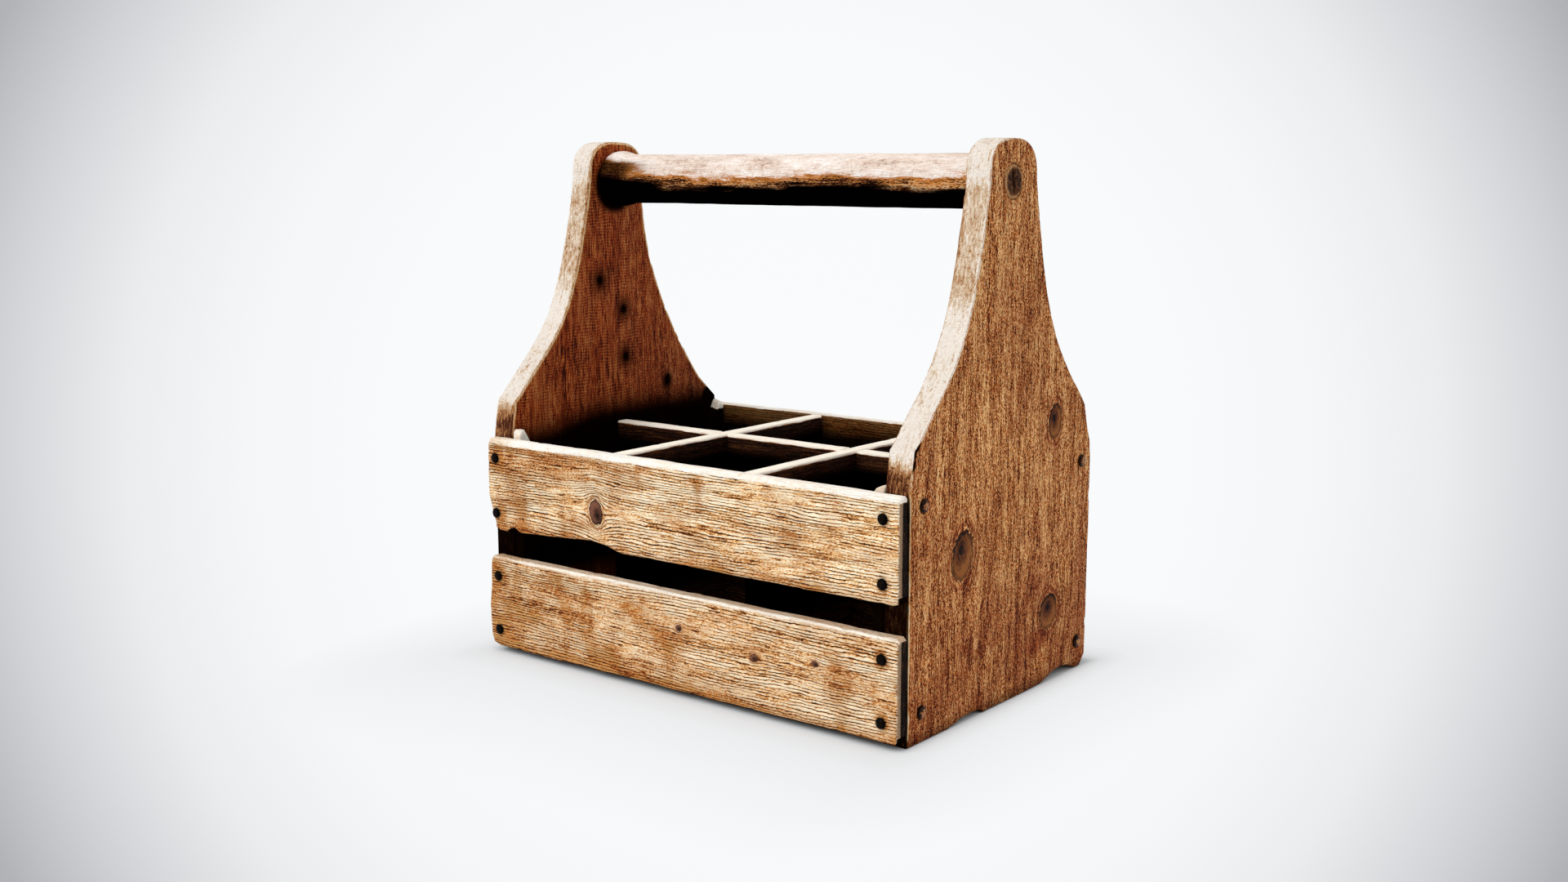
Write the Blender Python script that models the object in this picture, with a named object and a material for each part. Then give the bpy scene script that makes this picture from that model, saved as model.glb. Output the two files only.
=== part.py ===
"""Wooden tool caddy: two shaped end panels, four slats, a dowel handle and a lift-out divider grid.

Metres, +Z up. The origin is on the floor under the middle of the caddy. +X runs along the
handle and -Y is the front. Every board, post, divider and nail is its own closed solid.
"""

import math
from dataclasses import dataclass

import bmesh
import bpy
from mathutils import Vector

# Fits and cuts
TOUCH_GAP = 0.0003  # between two pieces that touch
SLIDE_GAP = 0.0010  # round the divider grid, which lifts out
CUT_OVERRUN = 0.0040  # how far a cutter passes the face that it cuts
ARRIS = 0.0015  # rounding of the sawn edges
POST_ARRIS = 0.0030  # rounding of the worn corner posts

# End panels
CADDY_LENGTH = 0.384  # outer face to outer face of the end panels, and the slats' length
PANEL_DEPTH = 0.240
PANEL_THICKNESS = 0.020
NECK_WIDTH = 0.062
CAP_HEIGHT = 0.029  # above the handle's axis
CAP_SQUARENESS = 2.8  # power of the cap's oval: 2 is an ellipse
CURVE_STEPS = 14
CAP_STEPS = 12
FOOT_WEAR = 0.0062  # depth of the hollows worn into the lower end
FOOT_SHARES = (  # of the depth, from the right panel's front edge, and of the wear
    (0.0, 0.0),
    (0.21, 0.0),
    (0.277, 0.5),
    (0.325, 0.64),
    (0.368, 0.5),
    (0.39, 0.0),
    (0.72, 0.0),
    (0.8, 0.9),
    (0.84, 1.0),
    (0.88, 0.8),
    (0.94, 0.0),
    (0.968, 0.0),
    (1.0, 1.3),
)

# Slats
SLAT_THICKNESS = 0.011
SLAT_HEIGHT = 0.072
SLAT_SPACING = 0.0197  # open gap between the lower and the upper slat
SLAT_LIFT = 0.0040  # of the lower slat above the floor
BACK_SLAT_INSET = 0.0065  # of the back slats' ends inside the end panels' outer faces
UPPER_SLAT_SHARES = (  # of the length, from the left, and of the height
    (0.016, 1.0),
    (0.009, 0.93),
    (0.009, 0.365),
    (0.0216, 0.164),
    (0.0276, 0.03),
    (0.0417, 0.0),
    (0.065, 0.0),
    (0.0742, 0.06),
    (0.0846, 0.05),
    (0.099, 0.005),
    (0.1536, 0.022),
    (0.245, 0.054),
    (0.292, 0.068),
    (0.328, 0.053),
    (0.37, 0.0),
    (0.99, 0.0),
    (1.0, 0.03),
    (1.0, 0.97),
    (0.996, 1.0),
)
LOWER_SLAT_SHARES = (
    (0.018, 1.0),
    (0.0104, 0.94),
    (0.009, 0.7),
    (0.0026, 0.43),
    (0.0065, 0.12),
    (0.013, 0.03),
    (0.031, 0.0),
    (0.995, 0.0),
    (1.0, 0.055),
    (1.0, 0.96),
    (0.9935, 1.0),
)

# Bottom board
FLOOR_LIFT = 0.012
FLOOR_THICKNESS = 0.018

# Handle
HANDLE_RISE = 0.1933  # of its axis above the slats' top
GRIP_RADIUS = 0.0191
COLLAR_SWELL = 0.0026  # how much the left end is thicker than the grip
COLLAR_LENGTH = 0.011
COLLAR_TAPER = 0.009
END_ROUND = 0.0018
TENON_RADIUS = 0.0118
TENON_INSET = 0.0004  # of the tenon's end inside the panel's outer face
HANDLE_SIDES = 32

# Corner posts
POST_THICKNESS = 0.009
POST_RISE = 0.0078  # above the slats' top
POST_MARGIN = 0.0048  # wood left on the inner side of the nail
POST_TOP_DROP = 0.0135  # from the top of the worn mound to the inner side's edge
POST_TOP_SHARES = (  # of its width, from the slat, and of the drop
    (1.0, 1.0),
    (0.7, 0.85),
    (0.5, 0.56),
    (0.36, 0.18),
    (0.26, 0.0),
    (0.1, 0.03),
    (0.0, 0.22),
)

# Divider grid
DIVIDER_THICKNESS = 0.012
DIVIDER_DROP = 0.0010  # of its top below the slats' top
CROSS_PLACE_SHARES = (-0.178, 0.178)  # of the length between the end panels
LAP_SHARE = 0.5  # of the height, cut from each board of a half lap

# Nails
FRONT_NAIL_INSET = 0.0132  # from the end panel's outer face to a front slat's nail
BACK_NAIL_INSET = 0.0142
SLAT_NAIL_RISE = 0.0141  # from the slat's lower edge to its lower nail
SLAT_NAIL_DROP = 0.0157  # from the slat's upper edge to its upper nail
SLAT_NAIL_BITE = 0.0127  # into the end panel
TIP_CLEARANCE = 0.0027  # from the slat nails' tips to the axes of the panel nails
POST_NAIL_DROP = 0.0098  # below the slats' top
POST_NAIL_BITE = 0.0065
FLOOR_NAIL_BITE = 0.025
NAIL_SIDES = 12

FRONT, BACK = -1, 1
LEFT, RIGHT = -1, 1

# Places worked out from the sizes above
half_length = CADDY_LENGTH / 2
inner_length = CADDY_LENGTH - 2 * PANEL_THICKNESS
half_depth = PANEL_DEPTH / 2
lower_slat_z = SLAT_LIFT
upper_slat_z = SLAT_LIFT + SLAT_HEIGHT + SLAT_SPACING
slat_top = upper_slat_z + SLAT_HEIGHT
slat_face = half_depth + TOUCH_GAP + SLAT_THICKNESS
handle_z = slat_top + HANDLE_RISE
floor_top = FLOOR_LIFT + FLOOR_THICKNESS
floor_middle = FLOOR_LIFT + FLOOR_THICKNESS / 2
divider_base = floor_top + TOUCH_GAP
divider_height = slat_top - DIVIDER_DROP - divider_base
panel_nail_y = half_depth - SLAT_NAIL_BITE - TIP_CLEARANCE
post_width = SLAT_NAIL_BITE + TIP_CLEARANCE + POST_MARGIN
post_nail_z = slat_top - POST_NAIL_DROP


@dataclass(frozen=True)
class SideCurve:
    """One sawn side of an end panel: a shoulder over the slats, then a hollow curve to the neck.

    The rises are above the slats' top and the insets are from the panel's full depth. The pulls
    are shares of the curve's run inward and of its rise.
    """

    shoulder_rise: float
    shoulder_inset: float
    start_rise: float
    start_inset: float
    pull_shares: tuple


FRONT_CURVE = SideCurve(
    shoulder_rise=0.0265,
    shoulder_inset=0.0040,
    start_rise=0.0318,
    start_inset=0.0100,
    pull_shares=((0.485, 0.269), (0.741, 0.277)),
)
RIGHT_BACK_CURVE = SideCurve(
    shoulder_rise=0.0145,
    shoulder_inset=0.0055,
    start_rise=0.0318,
    start_inset=0.0105,
    pull_shares=((0.485, 0.269), (0.741, 0.277)),
)
LEFT_BACK_CURVE = SideCurve(
    shoulder_rise=0.0068,
    shoulder_inset=0.0010,
    start_rise=0.0250,
    start_inset=0.0217,
    pull_shares=((0.02, 0.02), (1.13, 0.51)),
)


@dataclass(frozen=True)
class NailKind:
    """A nail's head and shank."""

    head_radius: float
    head_rise: float
    rim_rise: float
    shank_radius: float
    point_length: float


SLAT_NAIL = NailKind(
    head_radius=0.0040,
    head_rise=0.0019,
    rim_rise=0.0009,
    shank_radius=0.0013,
    point_length=0.0035,
)
PANEL_NAIL = NailKind(
    head_radius=0.0045,
    head_rise=0.0025,
    rim_rise=0.0006,
    shank_radius=0.0014,
    point_length=0.0035,
)


@dataclass(frozen=True)
class Nail:
    """One driven nail: where its head sits, the way its head looks and how deep it goes."""

    name: str
    kind: NailKind
    face: Vector
    outward: Vector
    depth: float

    def hole(self):
        """The ends and the radius of the hole that this nail needs in the wood."""
        start = self.face + self.outward * CUT_OVERRUN
        end = self.face - self.outward * (self.depth + TOUCH_GAP)
        return start, end, self.kind.shank_radius + TOUCH_GAP


def clear_scene():
    """Remove every object that is in the scene."""
    for item in list(bpy.data.objects):
        bpy.data.objects.remove(item, do_unlink=True)


def finish(name, colour, roughness, metallic=0.0):
    """A plain material with one colour."""
    material = bpy.data.materials.new(name)
    material.use_nodes = True
    shader = material.node_tree.nodes["Principled BSDF"]
    shader.inputs["Base Color"].default_value = (*colour, 1.0)
    shader.inputs["Roughness"].default_value = roughness
    shader.inputs["Metallic"].default_value = metallic
    return material


def carrier(name, parent=None, location=(0, 0, 0)):
    """An empty that carries other pieces."""
    empty = bpy.data.objects.new(name, None)
    bpy.context.collection.objects.link(empty)
    empty.parent = parent
    empty.location = location
    return empty


def mesh_of(bm, name, smooth_angle=None):
    """Turn a bmesh into a mesh, shaded smooth up to an angle if one is given."""
    bmesh.ops.recalc_face_normals(bm, faces=bm.faces)
    mesh = bpy.data.meshes.new(name)
    bm.to_mesh(mesh)
    bm.free()
    if smooth_angle is not None:
        mesh.shade_smooth()
        mesh.set_sharp_from_angle(angle=smooth_angle)
    return mesh


def piece(name, mesh, material, parent, location=(0, 0, 0)):
    """A named object for one sub-part."""
    item = bpy.data.objects.new(name, mesh)
    bpy.context.collection.objects.link(item)
    item.parent = parent
    item.location = location
    mesh.materials.clear()
    mesh.materials.append(material)
    return item


def outline_mesh(name, points, thickness, axis):
    """Extrude a closed outline of vectors by a thickness along an axis, centred on the outline."""
    bm = bmesh.new()
    offset = axis * thickness
    corners = [bm.verts.new(point - offset / 2) for point in points]
    face = bm.faces.new(corners)
    grown = bmesh.ops.extrude_face_region(bm, geom=[face])
    moved = [item for item in grown["geom"] if isinstance(item, bmesh.types.BMVert)]
    bmesh.ops.translate(bm, verts=moved, vec=offset)
    return mesh_of(bm, name)


def board_mesh(name, size):
    """A sawn board as a block, centred on its own origin."""
    bm = bmesh.new()
    bmesh.ops.create_cube(bm, size=1)
    bmesh.ops.scale(bm, vec=size, verts=bm.verts)
    return mesh_of(bm, name)


def turned_mesh(name, profile, sides, smooth_angle):
    """Turn a profile of (radius, height) points round the Z axis, from pole to pole."""
    bm = bmesh.new()
    line = [bm.verts.new((radius, 0, height)) for radius, height in profile]
    edges = [bm.edges.new(pair) for pair in zip(line, line[1:])]
    bmesh.ops.spin(
        bm,
        geom=line + edges,
        cent=(0, 0, 0),
        axis=(0, 0, 1),
        angle=math.tau,
        steps=sides,
        use_merge=True,
        use_normal_flip=False,
    )
    bmesh.ops.remove_doubles(bm, verts=bm.verts, dist=TOUCH_GAP / 10)
    return mesh_of(bm, name, smooth_angle)


def soften(item, width, segments=2):
    """Round the sharp edges of a board."""
    bevel = item.modifiers.new("arris", "BEVEL")
    bevel.width = width
    bevel.segments = segments
    bevel.limit_method = "ANGLE"
    bevel.angle_limit = math.radians(50)
    bevel.use_clamp_overlap = True


def cut(item, cutter):
    """Cut one shape out of a piece."""
    boolean = item.modifiers.new(cutter.name, "BOOLEAN")
    boolean.operation = "DIFFERENCE"
    boolean.solver = "EXACT"
    boolean.object = cutter


def guide(name, mesh, location=(0, 0, 0)):
    """A cutter, which is not a sub-part."""
    item = bpy.data.objects.new(name, mesh)
    bpy.context.collection.objects.link(item)
    item.location = location
    item.hide_render = True
    item.display_type = "WIRE"
    return item


def drill(item, holes, name, sides=NAIL_SIDES):
    """Drill round holes, each given by its two ends and its radius."""
    bm = bmesh.new()
    for start, end, radius in holes:
        run = end - start
        turn = run.to_track_quat("Z", "Y").to_matrix().to_4x4()
        turn.translation = (start + end) / 2
        bmesh.ops.create_cone(
            bm,
            cap_ends=True,
            segments=sides,
            radius1=radius,
            radius2=radius,
            depth=run.length,
            matrix=turn,
        )
    cut(item, guide(name, mesh_of(bm, name)))


def panel_side(curve):
    """One side of an end panel as (depth, height) points, from the slats' top to the cap."""
    neck = NECK_WIDTH / 2
    start = Vector((half_depth - curve.start_inset, slat_top + curve.start_rise))
    run = start.x - neck
    rise = handle_z - start.y
    pulls = [
        Vector((start.x - inward * run, start.y + upward * rise))
        for inward, upward in curve.pull_shares
    ]
    side = [
        (half_depth, slat_top),
        (half_depth - curve.shoulder_inset, slat_top + curve.shoulder_rise),
    ]
    for step in range(CURVE_STEPS):
        t = step / CURVE_STEPS
        rest = 1 - t
        point = rest**3 * start + 3 * rest**2 * t * pulls[0]
        point = point + 3 * rest * t**2 * pulls[1] + t**3 * Vector((neck, handle_z))
        side.append(tuple(point))
    for step in range(CAP_STEPS // 2):
        angle = step / CAP_STEPS * math.pi
        across = math.cos(angle) ** (2 / CAP_SQUARENESS)
        upward = math.sin(angle) ** (2 / CAP_SQUARENESS)
        side.append((neck * across, handle_z + CAP_HEIGHT * upward))
    return side


def panel_outline(end):
    """The end panel's outline in the YZ plane: a worn foot, two curved sides and a round cap."""
    back = panel_side(LEFT_BACK_CURVE if end == LEFT else RIGHT_BACK_CURVE)
    front = [(-y, z) for y, z in reversed(panel_side(FRONT_CURVE))]
    top = (0, handle_z + CAP_HEIGHT)
    foot = [
        (end * (share * PANEL_DEPTH - half_depth), height * FOOT_WEAR)
        for share, height in FOOT_SHARES[::end]
    ]
    return [Vector((0, y, z)) for y, z in foot + back + [top] + front]


def make_end_panel(name, end, material, parent, slat_nails, panel_nails):
    """One shaped end panel with its through hole for the handle and its nail holes."""
    mesh = outline_mesh(name, panel_outline(end), PANEL_THICKNESS, Vector((1, 0, 0)))
    centre_x = end * (half_length - PANEL_THICKNESS / 2)
    item = piece(name, mesh, material, parent, (centre_x, 0, 0))
    soften(item, ARRIS)
    reach = PANEL_THICKNESS / 2 + CUT_OVERRUN
    bore = (
        Vector((centre_x - reach, 0, handle_z)),
        Vector((centre_x + reach, 0, handle_z)),
        TENON_RADIUS + TOUCH_GAP,
    )
    drill(item, [bore], name + "_handle_hole", HANDLE_SIDES)
    drill(item, [nail.hole() for nail in slat_nails], name + "_edge_holes")
    drill(item, [nail.hole() for nail in panel_nails], name + "_face_holes")
    return item


def make_handle(material, parent):
    """The turned handle: a grip between the panels, swollen at its left end, and two tenons."""
    tenon = half_length - TENON_INSET
    grip = inner_length / 2 - TOUCH_GAP
    collar = GRIP_RADIUS + COLLAR_SWELL
    profile = [
        (0, -tenon),
        (TENON_RADIUS, -tenon),
        (TENON_RADIUS, -grip),
        (collar - END_ROUND, -grip),
        (collar, -grip + END_ROUND),
        (collar, -grip + COLLAR_LENGTH),
        (GRIP_RADIUS + COLLAR_SWELL / 3, -grip + COLLAR_LENGTH + COLLAR_TAPER / 2),
        (GRIP_RADIUS, -grip + COLLAR_LENGTH + COLLAR_TAPER),
        (GRIP_RADIUS, grip - END_ROUND),
        (GRIP_RADIUS - END_ROUND, grip),
        (TENON_RADIUS, grip),
        (TENON_RADIUS, tenon),
        (0, tenon),
    ]
    mesh = turned_mesh("handle", profile, HANDLE_SIDES, math.radians(35))
    item = piece("handle", mesh, material, parent, (0, 0, handle_z))
    item.rotation_euler = (0, math.pi / 2, 0)
    return item


def make_slat(name, side, base_z, shares, inset, material, parent, nails):
    """One slat with its worn ends and edges, its ends set in from the end panels' outer faces."""
    length = CADDY_LENGTH - 2 * inset
    points = [
        Vector((along * length - length / 2, 0, up * SLAT_HEIGHT)) for along, up in shares
    ]
    mesh = outline_mesh(name, points, SLAT_THICKNESS, Vector((0, 1, 0)))
    centre = (0, side * (slat_face - SLAT_THICKNESS / 2), base_z)
    item = piece(name, mesh, material, parent, centre)
    soften(item, ARRIS)
    drill(item, [nail.hole() for nail in nails], name + "_holes")
    return item


def make_bottom_board(material, parent, nails):
    """The bottom board, held between the end panels and the slats."""
    size = Vector((inner_length - 2 * TOUCH_GAP, PANEL_DEPTH, FLOOR_THICKNESS))
    mesh = board_mesh("bottom_board", size)
    item = piece("bottom_board", mesh, material, parent, (0, 0, floor_middle))
    drill(item, [nail.hole() for nail in nails], "bottom_board_holes")
    return item


def make_corner_post(name, end, side, material, parent, nail):
    """One corner post, worn to a sloping top that stands a little above the slats."""
    base = floor_top + TOUCH_GAP
    top = slat_top + POST_RISE
    points = [Vector((0, 0, base)), Vector((0, -side * post_width, base))]
    for across, drop in POST_TOP_SHARES:
        points.append(Vector((0, -side * across * post_width, top - drop * POST_TOP_DROP)))
    mesh = outline_mesh(name, points, POST_THICKNESS, Vector((1, 0, 0)))
    centre_x = end * (inner_length / 2 - TOUCH_GAP - POST_THICKNESS / 2)
    item = piece(name, mesh, material, parent, (centre_x, side * half_depth, 0))
    soften(item, POST_ARRIS)
    drill(item, [nail.hole()], name + "_hole")
    return item


def lap_cutter(name, place, along, across, from_top):
    """The block that cuts one half-lap notch, from a divider's top or from its base."""
    lap = LAP_SHARE * divider_height
    height = lap + TOUCH_GAP + CUT_OVERRUN
    middle = divider_base + lap
    if from_top:
        z = divider_base + divider_height - lap - TOUCH_GAP + height / 2
    else:
        z = middle + TOUCH_GAP - height / 2
    mesh = board_mesh(name, Vector((along, across, height)))
    return guide(name, mesh, (place, 0, z))


def make_divider_grid(material, parent):
    """Three dividers joined by half laps, loose in the box so that they lift out together."""
    slot = DIVIDER_THICKNESS + 2 * TOUCH_GAP
    block = DIVIDER_THICKNESS + 2 * CUT_OVERRUN
    centre_z = divider_height / 2
    length = inner_length - 2 * SLIDE_GAP
    size = Vector((length, DIVIDER_THICKNESS, divider_height))
    mesh = board_mesh("divider_long", size)
    long_divider = piece("divider_long", mesh, material, parent, (0, 0, centre_z))
    soften(long_divider, ARRIS)
    for side_name, share in zip(("left", "right"), CROSS_PLACE_SHARES):
        place = share * inner_length
        notch = lap_cutter("notch_long_" + side_name, place, slot, block, from_top=True)
        cut(long_divider, notch)
        name = "divider_cross_" + side_name
        size = Vector((DIVIDER_THICKNESS, PANEL_DEPTH - 2 * SLIDE_GAP, divider_height))
        cross = piece(name, board_mesh(name, size), material, parent, (place, 0, centre_z))
        soften(cross, ARRIS)
        cut(cross, lap_cutter("notch_" + name, place, block, slot, from_top=False))


def slat_nail_list():
    """The sixteen nails that hold the slats' ends to the end panels' edges."""
    nails = {}
    sides = (("front", FRONT, FRONT_NAIL_INSET), ("back", BACK, BACK_NAIL_INSET))
    for side_name, side, inset in sides:
        for level, base in (("lower", lower_slat_z), ("upper", upper_slat_z)):
            rows = (
                ("bottom", base + SLAT_NAIL_RISE),
                ("top", base + SLAT_HEIGHT - SLAT_NAIL_DROP),
            )
            for end_name, end in (("left", LEFT), ("right", RIGHT)):
                for row_name, z in rows:
                    name = f"slat_nail_{side_name}_{level}_{end_name}_{row_name}"
                    x = end * (half_length - inset)
                    face = Vector((x, side * slat_face, z))
                    depth = SLAT_THICKNESS + TOUCH_GAP + SLAT_NAIL_BITE
                    nail = Nail(name, SLAT_NAIL, face, Vector((0, side, 0)), depth)
                    nails[side_name, level, end_name, row_name] = nail
    return nails


def panel_nail_list():
    """The eight nails driven through the end panels: one into each post, two into the floor's end."""
    nails = {}
    uses = (("post", post_nail_z, POST_NAIL_BITE), ("floor", floor_middle, FLOOR_NAIL_BITE))
    for end_name, end in (("left", LEFT), ("right", RIGHT)):
        for side_name, side in (("front", FRONT), ("back", BACK)):
            for use, z, bite in uses:
                name = f"{use}_nail_{end_name}_{side_name}"
                face = Vector((end * half_length, side * panel_nail_y, z))
                depth = PANEL_THICKNESS + TOUCH_GAP + bite
                nail = Nail(name, PANEL_NAIL, face, Vector((end, 0, 0)), depth)
                nails[use, end_name, side_name] = nail
    return nails


def nail_mesh(name, kind, depth):
    """A nail along Z: its point, its shank and its domed head, with the wood's face at zero."""
    under = TOUCH_GAP
    profile = [
        (0, -depth),
        (kind.shank_radius, -depth + kind.point_length),
        (kind.shank_radius, under),
        (kind.head_radius, under),
        (kind.head_radius, under + kind.rim_rise),
        (kind.head_radius * math.cos(math.pi / 4), under + (kind.rim_rise + kind.head_rise) / 2),
        (0, under + kind.head_rise),
    ]
    return turned_mesh(name, profile, NAIL_SIDES, math.radians(40))


def drive(nails, material, parent):
    """Put every nail in its place, with one mesh for each kind and depth."""
    meshes = {}
    for nail in nails:
        key = (nail.kind, nail.depth)
        if key not in meshes:
            meshes[key] = nail_mesh(nail.name, nail.kind, nail.depth)
        item = piece(nail.name, meshes[key], material, parent, nail.face)
        item.rotation_euler = nail.outward.to_track_quat("Z", "Y").to_euler()


def build():
    """Build the whole caddy."""
    clear_scene()
    panel_wood = finish("panel_wood", (0.21, 0.085, 0.032), 0.72)
    slat_wood = finish("slat_wood", (0.42, 0.25, 0.11), 0.75)
    handle_wood = finish("handle_wood", (0.36, 0.22, 0.13), 0.62)
    floor_wood = finish("floor_wood", (0.10, 0.05, 0.025), 0.8)
    post_wood = finish("post_wood", (0.45, 0.34, 0.25), 0.78)
    divider_wood = finish("divider_wood", (0.33, 0.22, 0.13), 0.78)
    black_iron = finish("black_iron", (0.012, 0.010, 0.009), 0.55, 0.6)
    brown_iron = finish("brown_iron", (0.07, 0.028, 0.014), 0.6, 0.7)

    caddy = carrier("caddy")
    grid = carrier("divider_grid", caddy, (0, 0, divider_base))
    slat_nails = slat_nail_list()
    panel_nails = panel_nail_list()

    for end_name, end in (("left", LEFT), ("right", RIGHT)):
        edge = [nail for key, nail in slat_nails.items() if key[2] == end_name]
        face = [nail for key, nail in panel_nails.items() if key[1] == end_name]
        make_end_panel("end_panel_" + end_name, end, panel_wood, caddy, edge, face)
    make_handle(handle_wood, caddy)
    for side_name, side, inset in (("front", FRONT, 0), ("back", BACK, BACK_SLAT_INSET)):
        for level, base, shares in (
            ("lower", lower_slat_z, LOWER_SLAT_SHARES),
            ("upper", upper_slat_z, UPPER_SLAT_SHARES),
        ):
            own = [nail for key, nail in slat_nails.items() if key[:2] == (side_name, level)]
            name = f"slat_{side_name}_{level}"
            make_slat(name, side, base, shares, inset, slat_wood, caddy, own)
        for end_name, end in (("left", LEFT), ("right", RIGHT)):
            name = f"corner_post_{side_name}_{end_name}"
            nail = panel_nails["post", end_name, side_name]
            make_corner_post(name, end, side, post_wood, caddy, nail)
    floor_nails = [nail for key, nail in panel_nails.items() if key[0] == "floor"]
    make_bottom_board(floor_wood, caddy, floor_nails)
    make_divider_grid(divider_wood, grid)
    drive(slat_nails.values(), black_iron, caddy)
    drive(panel_nails.values(), brown_iron, caddy)


build()
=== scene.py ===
"""Wooden tool caddy, dressed: worn boards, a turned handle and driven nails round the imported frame.

+Z is up, with the caddy standing on the floor over the origin. +X runs along the handle and -Y is
the front. Every board is grown from its outline, sampled finely and then worn inwards, so that it
stays inside the solid that it stands for. Outlines and meshes are in metres; wear, knots, marks
and patterns are in millimetres.
"""

import logging
import math
from dataclasses import dataclass, field
from enum import Enum
from itertools import product

import bmesh
import bpy
import numpy as np
from bpy.types import ID, Material, Mesh, Node, NodeSocket, NodeTree, Object
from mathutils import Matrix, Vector


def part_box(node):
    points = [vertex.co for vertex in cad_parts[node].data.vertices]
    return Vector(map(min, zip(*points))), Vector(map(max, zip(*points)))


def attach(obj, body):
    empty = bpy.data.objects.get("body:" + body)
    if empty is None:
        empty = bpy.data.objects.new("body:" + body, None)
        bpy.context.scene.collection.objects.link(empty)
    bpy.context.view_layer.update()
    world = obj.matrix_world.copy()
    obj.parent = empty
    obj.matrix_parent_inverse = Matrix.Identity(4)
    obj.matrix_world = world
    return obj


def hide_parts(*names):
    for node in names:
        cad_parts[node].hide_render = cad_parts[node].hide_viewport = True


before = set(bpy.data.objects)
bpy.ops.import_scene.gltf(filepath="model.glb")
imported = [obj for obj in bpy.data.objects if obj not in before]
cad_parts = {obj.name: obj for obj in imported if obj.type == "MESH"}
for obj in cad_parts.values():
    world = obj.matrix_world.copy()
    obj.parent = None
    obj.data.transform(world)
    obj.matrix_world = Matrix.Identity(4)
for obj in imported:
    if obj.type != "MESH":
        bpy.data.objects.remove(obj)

log = logging.getLogger("caddy")

MM = 0.001
TOUCH_GAP = 0.3 * MM

# Where the tones of the colour ramps lie.
GRAIN_STOPS = (0.03, 0.24, 0.5, 0.76, 0.97)
RIM_STOPS = (0.05, 0.35, 0.7, 0.95)
PALE_STOPS = (0.05, 0.5, 0.95)
HEART_STOPS = (0.12, 0.45, 0.95)
IRON_STOPS = (0.45, 0.68, 0.9)

# Settings that many nodes share.
SMOOTH = {"interpolation_type": "SMOOTHSTEP"}
COLOURS = {"data_type": "RGBA"}
DARKENED = COLOURS | {"blend_type": "MULTIPLY"}

# The step from one seed's stretch of wood to the next, a distance in knot radii that no knot
# reaches, a depth that every knot goes through, and where the pith lies in a knot.
STRETCH_STEP = (431.0, 97.0, 53.0)
NO_KNOT = 9.0
KNOT_DEPTH = 1e6
PITH = (0.2, -0.22, 0)

Fields = dict[str, Node | NodeSocket]


@dataclass(frozen=True)
class Pattern:
    """A noise pattern: how long, wide and deep its cells are in millimetres, and its detail."""

    cell: tuple[float, float, float]
    detail: float = 2.0
    rough: float = 0.5
    warp: float = 0.0


# The slow and the quick wander of the grain, clouds of stain, where the year lines are clear,
# broad bands, how the saw's rows and the knots' rims bend, and three patterns of a sawn edge.
SWAY = Pattern((170, 30, 30))
RIPPLE = Pattern((10, 4, 4), detail=3.0)
CLOUD = Pattern((70, 22, 22), detail=4.0, rough=0.6)
CLEAR = Pattern((48, 15, 15))
BAND = Pattern((90, 6, 9), detail=1.0)
SAW_BOW = Pattern((1 / 0.07,) * 3)
KNOT_RAG = Pattern((1 / 0.35,) * 3, detail=3.0)
SCRATCH = Pattern((6, 1.6, 1), detail=4.0, rough=0.65)
CURL = Pattern((1 / 0.16,) * 3, warp=1.5)
EDGE_CLOUD = Pattern((17, 9, 1), detail=3.0, warp=1.2)


def linear(code: str) -> tuple[float, float, float, float]:
    """Turn an sRGB hex colour into linear light.

    Args:
        code: The colour as six hex digits.

    Returns:
        Red, green, blue and an alpha of one.
    """
    shares = [int(code[start : start + 2], 16) / 255 for start in (0, 2, 4)]
    light = [s / 12.92 if s <= 0.04045 else ((s + 0.055) / 1.055) ** 2.4 for s in shares]
    return (*light, 1.0)


def join(tree: NodeTree, node: Node, inputs: dict | tuple) -> None:
    """Link or set a node's inputs.

    Args:
        tree: The node tree.
        node: The node.
        inputs: What the inputs get, in order, or by name or number: a socket, a node (its first
            live output) or a plain value.
    """
    for key, value in inputs.items() if isinstance(inputs, dict) else enumerate(inputs):
        if isinstance(value, Node):
            value = next(socket for socket in value.outputs if socket.enabled)
        if isinstance(value, NodeSocket):
            tree.links.new(value, node.inputs[key])
        else:
            node.inputs[key].default_value = value


def add(tree: NodeTree, kind: str, inputs: dict | tuple = (), **settings: object) -> Node:
    """Add one shader node with its settings and links.

    Args:
        tree: The material's or the world's node tree.
        kind: The node's type, without its common prefix.
        inputs: What its inputs get, as join takes it.
        **settings: Properties of the node; "stops" holds the places and hex colours of a ramp.

    Returns:
        The new node.
    """
    node = tree.nodes.new("ShaderNode" + kind)
    stops = list(zip(*settings.pop("stops", ())))
    elements = node.color_ramp.elements if stops else ()
    while len(elements) < len(stops):
        elements.new(1.0)
    for element, (place, code) in zip(elements, stops):
        element.position = place
        element.color = linear(code)
    for name, value in settings.items():
        setattr(node, name, value)
    join(tree, node, inputs)
    return node


def new_material(name: str) -> tuple[Material, NodeTree, NodeSocket]:
    """Make a material.

    Args:
        name: Its name.

    Returns:
        The material, its node tree, and the place on the object in metres.
    """
    material = bpy.data.materials.new(name)
    material.use_nodes = True
    tree = material.node_tree
    return material, tree, add(tree, "TexCoord").outputs["Object"]


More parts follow.
